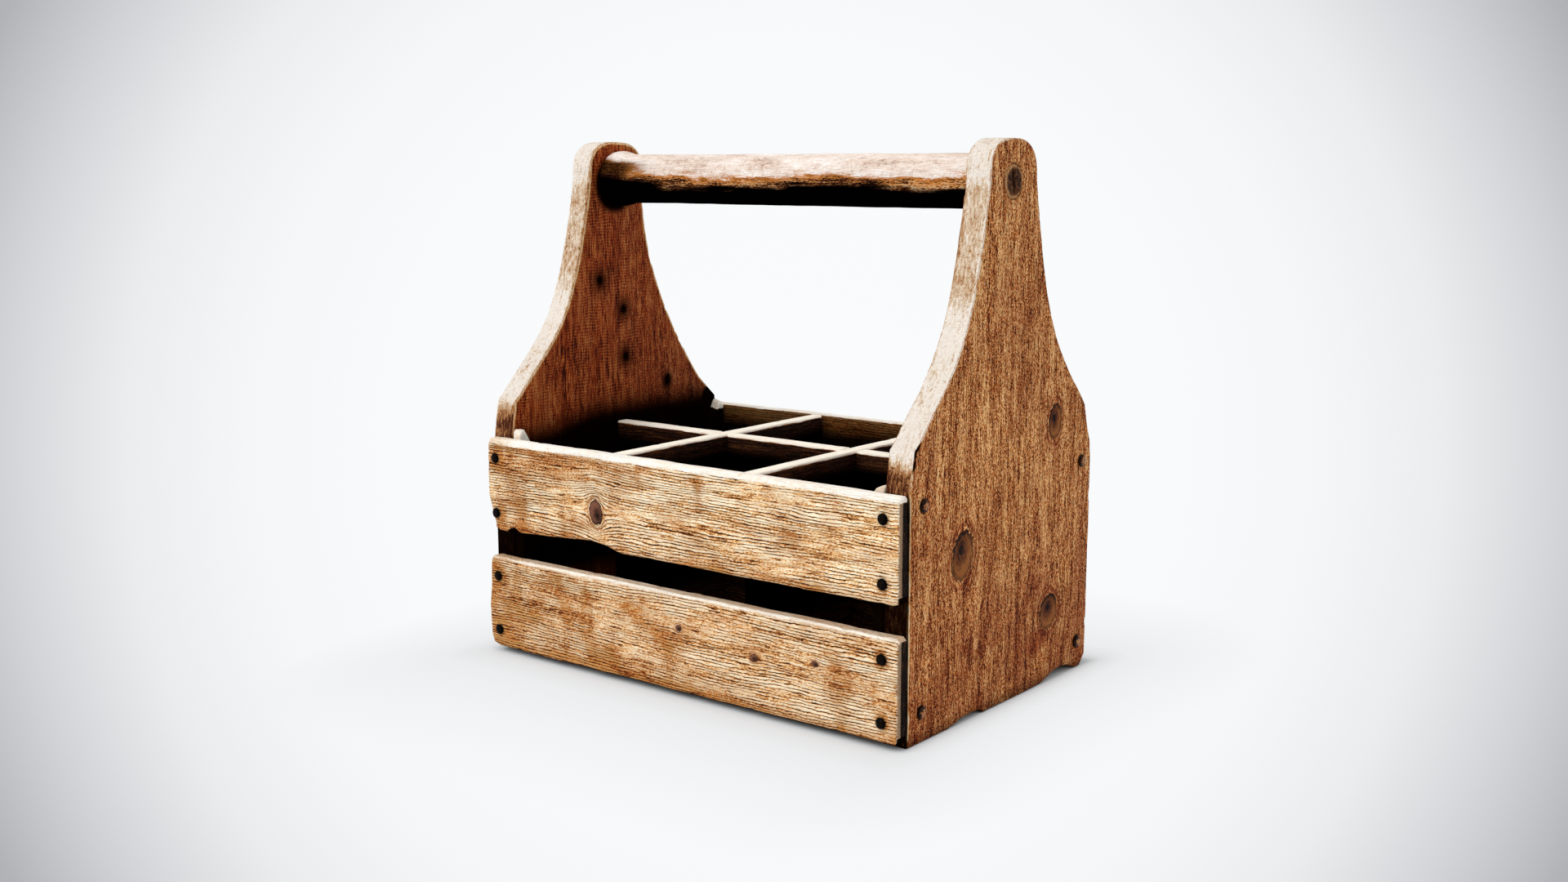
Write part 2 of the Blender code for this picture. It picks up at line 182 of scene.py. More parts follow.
def even_noise(points: np.ndarray, seed: int, octaves: int = 3) -> np.ndarray:
    """Smooth noise between 0 and 1, the same on every run.

    Args:
        points: N by 3 places, counted in cells of the coarsest octave.
        seed: Which noise field to read.
        octaves: How many finer layers are added.

    Returns:
        One value for each point.
    """
    total = np.zeros(len(points))
    for octave in range(octaves):
        scaled = points * 2.0**octave + seed * 17.31
        cell = np.floor(scaled).astype(np.int64)
        part = scaled - cell
        part = part * part * (3 - 2 * part)
        for corner in product((0, 1), repeat=3):
            code = (cell + corner) @ np.array((73856093, 19349663, 83492791)) + 2654435761 * seed
            code = (code ^ (code >> 13)) * 1274126177
            value = ((code ^ (code >> 16)) & 0xFFFF) / 0xFFFF
            share = np.prod(np.where(np.array(corner, bool), part, 1 - part), axis=1)
            total += share * value / 2.0**octave
    return total / (2 - 2.0 ** (1 - octaves))


def ease(value: np.ndarray, low: float | np.ndarray, high: float | np.ndarray) -> np.ndarray:
    """Rise smoothly from 0 at low to 1 at high; low may be the larger one."""
    share = np.clip((value - low) / (high - low), 0, 1)
    return share * share * (3 - 2 * share)


def placed(name: str, data: ID) -> Object:
    """Put a new object in the scene.

    Args:
        name: The object's name.
        data: The data block that it holds.

    Returns:
        The object.
    """
    item = bpy.data.objects.new(name, data)
    bpy.context.scene.collection.objects.link(item)
    return item


def to_mesh(bm: bmesh.types.BMesh, name: str) -> Mesh:
    """Turn a bmesh into a mesh, and free it.

    Args:
        bm: The bmesh.
        name: The mesh's name.

    Returns:
        The mesh.
    """
    mesh = bpy.data.meshes.new(name)
    bm.to_mesh(mesh)
    bm.free()
    return mesh


def points_of(mesh: Mesh) -> np.ndarray:
    """Read where a mesh's vertices are.

    Args:
        mesh: The mesh.

    Returns:
        Their places, N by 3.
    """
    co = np.empty(len(mesh.vertices) * 3)
    mesh.vertices.foreach_get("co", co)
    return co.reshape(-1, 3)


def move_points(mesh: Mesh, co: np.ndarray) -> None:
    """Put a mesh's vertices in new places."""
    mesh.vertices.foreach_set("co", co.ravel())
    mesh.update()


def give_marks(mesh: Mesh, marks: dict[str, object]) -> None:
    """Store named marks on a mesh.

    Args:
        mesh: The mesh.
        marks: The marks by name, each one number or one for each vertex.
    """
    for name, values in marks.items():
        layer = mesh.attributes.new(name, "FLOAT", "POINT")
        layer.data.foreach_set("value", np.full(len(mesh.vertices), values, np.float32))


def turned(profile: list[tuple], axis: tuple[int, int, int], steps: int) -> bmesh.types.BMesh:
    """Turn a profile round an axis through the origin, as on a lathe.

    Args:
        profile: The places of the profile's corners, from axis to axis.
        axis: The axis.
        steps: How many sides the round gets.

    Returns:
        The closed shape.
    """
    bm = bmesh.new()
    line = [bm.verts.new(place) for place in profile]
    edges = [bm.edges.new(pair) for pair in zip(line, line[1:])]
    spun = {"cent": (0, 0, 0), "axis": axis, "angle": math.tau, "steps": steps}
    bmesh.ops.spin(bm, geom=line + edges, use_merge=True, use_normal_flip=False, **spun)
    bmesh.ops.remove_doubles(bm, verts=bm.verts, dist=0.01 * MM)
    bmesh.ops.recalc_face_normals(bm, faces=bm.faces)
    return bm


def resampled(bm: bmesh.types.BMesh, cell: float, stretch: float) -> Mesh:
    """Sample a closed bmesh in even cells, then stretch it.

    Args:
        bm: The closed shape, which is freed.
        cell: The size of a cell before the stretch.
        stretch: How much the shape grows along X afterwards.

    Returns:
        The dense mesh.
    """
    rough = to_mesh(bm, "rough")
    holder = placed("rough", rough)
    remesh = holder.modifiers.new("cells", "REMESH")
    remesh.mode = "VOXEL"
    remesh.voxel_size = cell
    graph = bpy.context.evaluated_depsgraph_get()
    mesh = bpy.data.meshes.new_from_object(holder.evaluated_get(graph))
    bpy.data.objects.remove(holder)
    bpy.data.meshes.remove(rough)
    move_points(mesh, points_of(mesh) * (stretch, 1, 1))
    return mesh


def stand_in(node: str, mesh: Mesh, material: Material, body: str) -> None:
    """Show a finished mesh in place of a solid.

    Args:
        node: The solid's name.
        mesh: The mesh, in its place in the world.
        material: Its finish.
        body: The body that it rides on.
    """
    mesh.name = "worn_" + node
    mesh.materials.clear()
    mesh.materials.append(material)
    mesh.shade_smooth()
    item = placed("worn_" + node, mesh)
    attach(item, body)
    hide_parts(node)
    log.info("%s: %d faces", item.name, len(mesh.polygons))


def nail_places(starts: tuple[str, ...], axis: int) -> list[tuple[float, float]]:
    """Find the nails whose names start so: where each is along one axis, and how high."""
    boxes = [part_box(name) for name in sorted(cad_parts) if name.startswith(starts)]
    return [((low[axis] + high[axis]) / 2 / MM, (low.z + high.z) / 2 / MM) for low, high in boxes]


class Grain(Enum):
    """Which world axes run along, across and through a board's grain."""

    LENGTHWISE = "XZY"
    UPRIGHT = "ZYX"
    CROSSWISE = "YZX"
    LYING = "XYZ"

    @property
    def order(self) -> list[int]:
        """The world axes' numbers, in grain order."""
        return ["XYZ".index(letter) for letter in self.value]

    @property
    def mirrored(self) -> bool:
        """Whether grain order turns a right-handed shape into a left-handed one."""
        return self in (Grain.LENGTHWISE, Grain.UPRIGHT)


@dataclass(frozen=True)
class Knot:
    """One knot: its place along and across the grain, its size and its lean."""

    along: float
    across: float
    half_along: float
    half_across: float
    lean: float = 0.0


@dataclass(frozen=True)
class Iron:
    """Nail iron: forged, blackened or rusted, with a painted highlight on the crown of the head."""

    name: str
    tones: tuple[str, str, str]
    roughness: float
    metallic: float
    gloss: float
    blotch_cell: float = MM / 0.9
    pit_cell: float = MM / 1.6

    def dress(self) -> Material:
        """Make the material: rust and scale in blotches of about a millimetre, and a painted
        highlight on the crown.

        Returns:
            The material.
        """
        material, tree, place = new_material(self.name)
        inputs = {"Vector": place, "Scale": 1 / self.blotch_cell, "Detail": 4.0}
        blotch = add(tree, "TexNoise", inputs)
        # The crown mark brightens the top of the head as a painted highlight.
        crown = add(tree, "Attribute", attribute_name="crown").outputs["Fac"]
        tone = add(tree, "Math", (crown, 0.32, blotch), operation="MULTIPLY_ADD")
        rough = (blotch, 0.0, 1.0, self.roughness + 0.15, self.roughness - 0.1)
        pits = add(tree, "TexNoise", {"Vector": place, "Scale": 1 / self.pit_cell, "Detail": 2.0})
        height = {"Height": pits, "Distance": 0.2 * MM, "Strength": 0.5}
        inputs = {
            "Base Color": add(tree, "ValToRGB", (tone,), stops=(IRON_STOPS, self.tones)),
            "Roughness": add(tree, "MapRange", rough),
            "Normal": add(tree, "Bump", height),
            "Metallic": self.metallic,
            "Specular IOR Level": self.gloss,
        }
        join(tree, tree.nodes["Principled BSDF"], inputs)
        return material


@dataclass(frozen=True)
class Wood:
    """Sawn pine, stained or bare, and how it has worn.

    The colour runs over five tones from the grooves to the ridges of the grain. The board's own
    marks say where it is stained, bleached, black with dirt, darkened with painted shade, and where
    it shows an edge.
    """

    name: str
    tones: tuple[str, str, str, str, str]
    stain: str
    pale: tuple[str, str, str]
    rim: tuple[str, str, str, str]
    # The near-black colour of dirt and of painted shade.
    dirt_and_shade: str
    fringe: str = "B06A2C"
    fringe_strength: float = 0.0
    heart: tuple[str, str, str] = ("1C0D08", "4A2A1E", "7A4E3C")
    line_spacing: float = 2.5
    line_strength: float = 0.5
    streak_strength: float = 2.2
    streak_length: float = 14.0
    streak_width: float = 0.85
    dash_strength: float = 0.0
    dash_length: float = 15.0
    dash_width: float = 1.5
    band_strength: float = 0.9
    fleck_strength: float = 0.9
    fleck_length: float = 2.2
    fleck_width: float = 0.9
    relief_strength: float = 0.25
    saw_strength: float = 0.0
    saw_spacing: float = 2.3
    blotch_strength: float = 0.35
    roughness: float = 0.72
    bump_height: float = 0.8

    def dress(self, name: str, grain: Grain, knots: tuple[Knot, ...], seed: int) -> Material:
        """Make the material for one board.

        Args:
            name: The board's name, added to the finish's.
            grain: The way the board's grain runs.
            knots: The board's knots.
            seed: Which stretch of wood the board was cut from.

        Returns:
            The material.
        """
        material, tree, place = new_material(f"{self.name}_{name}")
        apart = add(tree, "SeparateXYZ", (place,)).outputs
        metres = add(tree, "CombineXYZ", tuple(apart[axis] for axis in grain.order))
        spot = add(tree, "VectorMath", {0: metres, "Scale": 1 / MM}, operation="SCALE")
        at = self.figure(tree, spot, knots, seed)
        value = self.grain_value(tree, at)
        colour = add(tree, "ValToRGB", (value,), stops=(GRAIN_STOPS, self.tones))
        colour = self.blotched(tree, colour, at)
        if knots:
            colour = self.knotted(tree, colour, at)
        colour, scratch = self.edged(tree, colour, at)
        colour = self.bleached(tree, colour, at, scratch)
        # This mark turns the wood near black: real dirt in places, painted shade inside the box,
        # under the bars and behind the slats.
        ragged = add(tree, "Math", (at["streak"], 0.5, at["dirt_and_shade"]), operation="MULTIPLY_ADD")
        dirt_and_shade_share = add(tree, "MapRange", (ragged, 0.3, 1.15), **SMOOTH)
        rough = (value, 0.0, 1.0, self.roughness + 0.12, self.roughness - 0.08)
        height = {"Height": value, "Distance": self.bump_height * MM, "Strength": 0.8}
        inputs = {
            "Base Color": add(tree, "Mix", {0: dirt_and_shade_share, 6: colour, 7: linear(self.dirt_and_shade)}, **COLOURS),
            "Roughness": add(tree, "MapRange", rough),
            "Specular IOR Level": add(tree, "MapRange", (dirt_and_shade_share, 0.0, 1.0, 0.1, 0.0)),
            "Normal": add(tree, "Bump", height),
        }
        join(tree, tree.nodes["Principled BSDF"], inputs)
        return material

    def figure(self, tree: NodeTree, spot: Node, knots: tuple[Knot, ...], seed: int) -> Fields:
        """Lay out the grain, which bends round the knots as a stream bends round stones.

        Args:
            tree: The node tree.
            spot: The place in grain order, in millimetres.
            knots: The knots.
            seed: Which stretch of wood the board was cut from.

        Returns:
            The board's marks and noise patterns by name; "along", the place along the stretch of
            wood; "level", the grain's level across the board; and "nearest" and "heart", how many
            knot radii it is to the nearest knot's middle and to its pith.
        """
        across = add(tree, "SeparateXYZ", (spot,)).outputs[1]
        bend = add(tree, "Math", (across, 0.0), operation="MULTIPLY")
        nearest = heart = add(tree, "Math", (bend, NO_KNOT), operation="ADD")
        for knot in knots:
            size = (knot.half_along, knot.half_across, KNOT_DEPTH)
            shape = (spot, (knot.along, knot.across, 0), (0, 0, knot.lean), size)
            local = add(tree, "Mapping", shape, vector_type="TEXTURE")
            radius = add(tree, "VectorMath", (local,), operation="LENGTH")
            outside = add(tree, "Math", (radius, 1.0), operation="MAXIMUM")
            fall = add(tree, "Math", (outside, -2.0), operation="POWER")
            off = add(tree, "Math", (across, knot.across), operation="SUBTRACT")
            bend = add(tree, "Math", (off, fall, bend), operation="MULTIPLY_ADD")
            nearest = add(tree, "Math", (radius, nearest), operation="MINIMUM")
            pith = add(tree, "VectorMath", (local, PITH), operation="DISTANCE")
            heart = add(tree, "Math", (pith, heart), operation="MINIMUM")
        own = add(tree, "Mapping", (spot, tuple(seed * step for step in STRETCH_STEP)))
        along, up, through = add(tree, "SeparateXYZ", (own,)).outputs[:3]
        at = {"along": along, "nearest": nearest, "heart": heart}
        for name in ("relief", "stain", "rim", "run", "bleach", "pale", "dirt_and_shade"):
            at[name] = add(tree, "Attribute", attribute_name=name).outputs["Fac"]
        edge = add(tree, "CombineXYZ", (at["run"], through))
        level = add(tree, "Math", (up, bend), operation="SUBTRACT")
        fleck = Pattern((self.fleck_length, self.fleck_width, self.fleck_width))
        fields = {"sway": SWAY, "ripple": RIPPLE, "fleck": fleck, "cloud": CLOUD, "clear": CLEAR}
        if self.saw_strength:
            fields["bow"] = SAW_BOW
        if knots:
            fields["rag"] = KNOT_RAG
        streak = Pattern((self.streak_length, self.streak_width, self.streak_width), 3.0, 0.6)
        bent = {"streak": streak, "band": BAND}
        if self.dash_strength:
            cell = (self.dash_length, self.dash_width, self.dash_width)
            bent["dash"] = Pattern(cell, warp=0.4)
        sawn = {"scratch": SCRATCH, "curl": CURL, "edge_cloud": EDGE_CLOUD}
        # The last patterns lie along the bent grain, which the first ones help to bend.
        for kind, patterns in (("own", fields), ("edge", sawn), ("bent", bent)):
            place = edge if kind == "edge" else own
            if kind == "bent":
                level = add(tree, "Math", (at["sway"], 11.0, level), operation="MULTIPLY_ADD")
                level = add(tree, "Math", (at["ripple"], 2.2, level), operation="MULTIPLY_ADD")
                place = add(tree, "CombineXYZ", (along, level, through))
            for name, pattern in patterns.items():
                near = add(tree, "Mapping", {0: place, 3: tuple(1 / s for s in pattern.cell)})
                inputs = {"Vector": near, "Scale": 1.0, "Detail": pattern.detail}
                inputs |= {"Roughness": pattern.rough, "Distortion": pattern.warp}
                at[name] = add(tree, "TexNoise", inputs)
        return at | {"level": level}

    def grain_value(self, tree: NodeTree, at: Fields) -> Node:
        """Add up the year lines, streaks, bands, flecks, carved relief and saw marks, round a half.

        A year's line darkens slowly across the year and ends sharply.

        Args:
            tree: The node tree.
            at: The wood's figure.

        Returns:
            The value's node.
        """
        clear = add(tree, "MapRange", (at["clear"], 0.38, 0.6, 0.3, 1.3))
        year = add(tree, "Math", (at["level"], 1 / self.line_spacing), operation="MULTIPLY")
        year = add(tree, "Math", (year,), operation="FRACT")
        year = add(tree, "Math", (year, 4.0), operation="POWER")
        year = add(tree, "Math", (0.2, year), operation="SUBTRACT")
        lines = add(tree, "Math", (year, clear), operation="MULTIPLY")
        layers = [
            (at["streak"], self.streak_strength),
            (at["band"], self.band_strength),
            (at["fleck"], self.fleck_strength),
            (at["relief"], self.relief_strength),
        ]
        if self.dash_strength:
            dash = add(tree, "MapRange", (at["dash"], 0.66, 0.57), **SMOOTH)
            layers.append((dash, self.dash_strength))
        if self.saw_strength:
            sawn = add(tree, "Attribute", attribute_name="sawn").outputs["Fac"]
            saw = add(tree, "Math", (at["bow"], 5.0, at["along"]), operation="MULTIPLY_ADD")
            saw = add(tree, "Math", (saw, math.tau / self.saw_spacing), operation="MULTIPLY")
            saw = add(tree, "Math", (saw,), operation="SINE")
            saw = add(tree, "Math", (saw, clear), operation="MULTIPLY")
            calm = add(tree, "Math", (0.5, at["fleck"]), operation="SUBTRACT")
            calm = add(tree, "Math", (calm, 0.7 * self.fleck_strength), operation="MULTIPLY")
            saw = add(tree, "Math", (saw, self.saw_strength, calm), operation="MULTIPLY_ADD")
            saw = add(tree, "Math", (saw, sawn, 0.5), operation="MULTIPLY_ADD")
            layers.append((saw, 1.0))
        base = 0.5 - sum(strength for _, strength in layers) / 2
        value = add(tree, "Math", (lines, self.line_strength, base), operation="MULTIPLY_ADD")
        for layer, strength in layers:
            value = add(tree, "Math", (layer, strength, value), operation="MULTIPLY_ADD")
        return value

    def blotched(self, tree: NodeTree, colour: Node, at: Fields) -> Node:
        """Darken the wood with stain, in clouds and where the board's mark says so.

        Args:
            tree: The node tree.
            colour: The colour so far.
            at: The wood's figure.

        Returns:
            The new colour.
        """
        cloud = add(tree, "MapRange", (at["cloud"], 0.46, 0.68, 0.0, self.blotch_strength))
        total = add(tree, "Math", (cloud, at["stain"]), operation="ADD")
        grit = add(tree, "MapRange", (at["fleck"], 0.3, 0.7, 1.25, 0.75))
        share = add(tree, "Math", (total, grit), operation="MULTIPLY")
        return add(tree, "Mix", {0: share, 6: colour, 7: linear(self.stain)}, **DARKENED)

    def knotted(self, tree: NodeTree, colour: Node, at: Fields) -> Node:
        """Draw each knot: a dark ragged rim, close rings round its pith and a stained halo.

        Args:
            tree: The node tree.
            colour: The colour so far.
            at: The wood's figure.

        Returns:
            The new colour.
        """
        rag, nearest, heart = at["rag"], at["nearest"], at["heart"]
        radius = add(tree, "Math", (rag, 0.5, nearest), operation="MULTIPLY_ADD")
        radius = add(tree, "Math", (radius, 0.25), operation="SUBTRACT")
        rings = add(tree, "Math", (heart, 30.0), operation="MULTIPLY")
        rings = add(tree, "Math", (rings,), operation="SINE")
        tone = add(tree, "Math", (rings, 0.07, heart), operation="MULTIPLY_ADD")
        tone = add(tree, "Math", (rag, 0.5, tone), operation="MULTIPLY_ADD")
        tone = add(tree, "Math", (tone, 0.25), operation="SUBTRACT")
        core = add(tree, "ValToRGB", (tone,), stops=(HEART_STOPS, self.heart))
        shade = add(tree, "MapRange", (radius, 0.76, 0.95), **SMOOTH)
        near = add(tree, "Math", (nearest, heart), operation="SUBTRACT")
        near = add(tree, "MapRange", (near, -0.2, 0.2, 0.5, 1.0))
        shade = add(tree, "Math", (shade, near), operation="MULTIPLY")
        core = add(tree, "Mix", {0: shade, 6: core, 7: linear(self.heart[0])}, **COLOURS)
        halo = add(tree, "MapRange", (radius, 2.1, 1.1, 0.0, 0.55), **SMOOTH)
        swirl = add(tree, "Math", (radius, 15.0), operation="MULTIPLY")
        swirl = add(tree, "Math", (swirl,), operation="SINE")
        halo = add(tree, "Math", (swirl, halo, halo), operation="MULTIPLY_ADD")
        colour = add(tree, "Mix", {0: halo, 6: colour, 7: linear(self.stain)}, **DARKENED)
        inside = add(tree, "MapRange", (radius, 1.12, 1.0), **SMOOTH)
        return add(tree, "Mix", {0: inside, 6: colour, 7: core}, **COLOURS)

    def edged(self, tree: NodeTree, colour: Node, at: Fields) -> tuple[Node, Node]:
        """Show the sawn edge where the board's mark says so: scratches and thin curls.

        Args:
            tree: The node tree.
            colour: The colour so far.
            at: The wood's figure.

        Returns:
            The new colour, and the edge's scratches.
        """
        curl = add(tree, "Math", (at["curl"], 0.5), operation="SUBTRACT")
        curl = add(tree, "Math", (curl,), operation="ABSOLUTE")
        ink = add(tree, "MapRange", (curl, 0.0, 0.03, 0.22, 0.0))
        scratch = add(tree, "Math", (at["scratch"], ink), operation="SUBTRACT")
        tone = add(tree, "Math", (scratch, 1.5, at["bleach"]), operation="MULTIPLY_ADD")
        tone = add(tree, "Math", (at["edge_cloud"], 0.8, tone), operation="MULTIPLY_ADD")
        tone = add(tree, "Math", (tone, 1.17), operation="SUBTRACT")
        edge = add(tree, "ValToRGB", (tone,), stops=(RIM_STOPS, self.rim))
        rough = add(tree, "Math", (scratch, 0.8, at["rim"]), operation="MULTIPLY_ADD")
        mask = add(tree, "MapRange", (rough, 0.75, 1.05), **SMOOTH)
        return add(tree, "Mix", {0: mask, 6: colour, 7: edge}, **COLOURS), scratch

    def bleached(self, tree: NodeTree, colour: Node, at: Fields, scratch: Node) -> Node:
        """Rub the wood pale where the board's mark says so, with an orange fringe.

        Args:
            tree: The node tree.
            colour: The colour so far.
            at: The wood's figure.
            scratch: The edge's scratches.

        Returns:
            The new colour.
        """
        grit = add(tree, "Math", (at["fleck"], 0.4, at["streak"]), operation="MULTIPLY_ADD")
        grit = add(tree, "Math", (grit, 0.7), operation="SUBTRACT")
        tone = add(tree, "Math", (scratch, 0.9, -0.45), operation="MULTIPLY_ADD")
        tone = add(tree, "Math", (grit, 0.8, tone), operation="MULTIPLY_ADD")
        tone = add(tree, "Math", (tone, at["bleach"]), operation="ADD")
        rough = add(tree, "Math", (grit, 0.9, at["pale"]), operation="MULTIPLY_ADD")
        if self.fringe_strength:
            near = add(tree, "MapRange", (rough, 0.08, 0.4, 0.0, self.fringe_strength))
            colour = add(tree, "Mix", {0: near, 6: colour, 7: linear(self.fringe)}, **COLOURS)
        mask = add(tree, "MapRange", (rough, 0.34, 0.62), **SMOOTH)
        pale = add(tree, "ValToRGB", (tone,), stops=(PALE_STOPS, self.pale))
        return add(tree, "Mix", {0: mask, 6: colour, 7: pale}, **COLOURS)


# Weathered pine, sawn and never planed since: soft summer wood worn into grooves that hold old
# brown stain, hard winter wood standing cream, and thin dark checks along the grain. The ridges
# are about two millimetres apart.
WEATHERED_PINE = Wood(
    name="weathered_pine",
    tones=("3C1B0A", "935628", "DA9F5E", "F9CE90", "FFF3D6"),
    stain="C29666",
    pale=("C8A27E", "F4E2CB", "FFFBF2"),
    rim=("180B06", "6A4630", "C4A080", "EAD8C2"),
    dirt_and_shade="0C0502",
    line_spacing=2.1,
    line_strength=1.75,
    streak_strength=2.5,
    streak_length=16.0,
    streak_width=0.8,
    fleck_strength=1.8,
    fleck_length=1.8,
    dash_strength=0.4,
    dash_length=13.0,
)

# The same pine under a red-brown stain that the sun has turned orange; its sawn edges have lost
# it. The faces show sandy flecks about a millimetre across, the inner ones saw marks as well.
STAINED_PINE = Wood(
    name="stained_pine",
    tones=("431402", "93410F", "CB7230", "EE9C54", "FFD494"),
    stain="BA8462",
    pale=("E8CBA2", "FBE9CC", "FFF9EC"),
    rim=("4A1C0A", "B47A48", "E6CCAC", "FFF4E8"),
    dirt_and_shade="0A0301",
    fringe="CC8438",
    fringe_strength=1.0,
    heart=("0E0402", "5A2A12", "9A5C2C"),
    line_spacing=3.1,
    line_strength=0.2,
    streak_strength=3.3,
    streak_length=11.0,
    streak_width=0.7,
    fleck_strength=3.5,
    fleck_length=1.3,
    fleck_width=0.75,
    saw_strength=0.16,
    blotch_strength=0.45,
    bump_height=0.9,
)

# The turned bar: pale on top, bleached by hands and sun and partly painted light; orange-brown at
# its sides; black below, which is painted shade.
BLEACHED_DOWEL = Wood(
    name="bleached_dowel",
    tones=("1A0703", "5E2810", "B06A2C", "EAB26A", "FFE6BE"),
    stain="8E6058",
    pale=("A47C66", "EBD6C6", "FFF9F4"),
    rim=("0A0402", "3A1E10", "8A5A36", "C89664"),
    dirt_and_shade="020101",
    fringe="C87A30",
    fringe_strength=0.95,
    line_spacing=3.2,
    line_strength=0.3,
    streak_strength=3.0,
    streak_length=12.0,
    streak_width=0.75,
    fleck_strength=2.2,
)

# Thin pine of the dividers, dark inside the box with tones that are partly painted shade; its top
# edges rubbed to cream.
DARK_PINE = Wood(
    name="dark_pine",
    tones=("100602", "241007", "3E200F", "5C321A", "7A4A2A"),
    stain="9A7A68",
    pale=("E2C8A2", "F8E6CC", "FFF6E6"),
    rim=("120804", "24130A", "3A2012", "55311B"),
    dirt_and_shade="010000",
    fringe_strength=0.9,
)


@dataclass(frozen=True)
class Wear:
    """How a board has worn: how round its arrises are and how uneven its faces."""

    arris: float
    crown: float
    chip: float
    wander: float
    dish: float = 0.35
    ridge: float = 0.15
    ridge_spacing: float = 3.4


@dataclass(frozen=True)
class Stock:
    """Boards of one kind: their material slot, their wood and wear, and how they are sampled."""

    slot: str
    wood: Wood
    wear: Wear
    cell: float
    stretch: float


@dataclass(frozen=True)
class Carved:
    """A carved mesh, and for every vertex what the marks go by.

    place is where it is, edge how far it was from the nearest arris, rim how far it faces sideways
    out of the outline, and side which face it is on.
    """

    mesh: Mesh
    place: np.ndarray
    edge: np.ndarray
    rim: np.ndarray
    side: np.ndarray

    def cloud(self, cell: float, seed: int, octaves: int = 3) -> np.ndarray:
        """Even noise over the board, in cells of one size."""
        return even_noise(self.place / cell, seed, octaves)


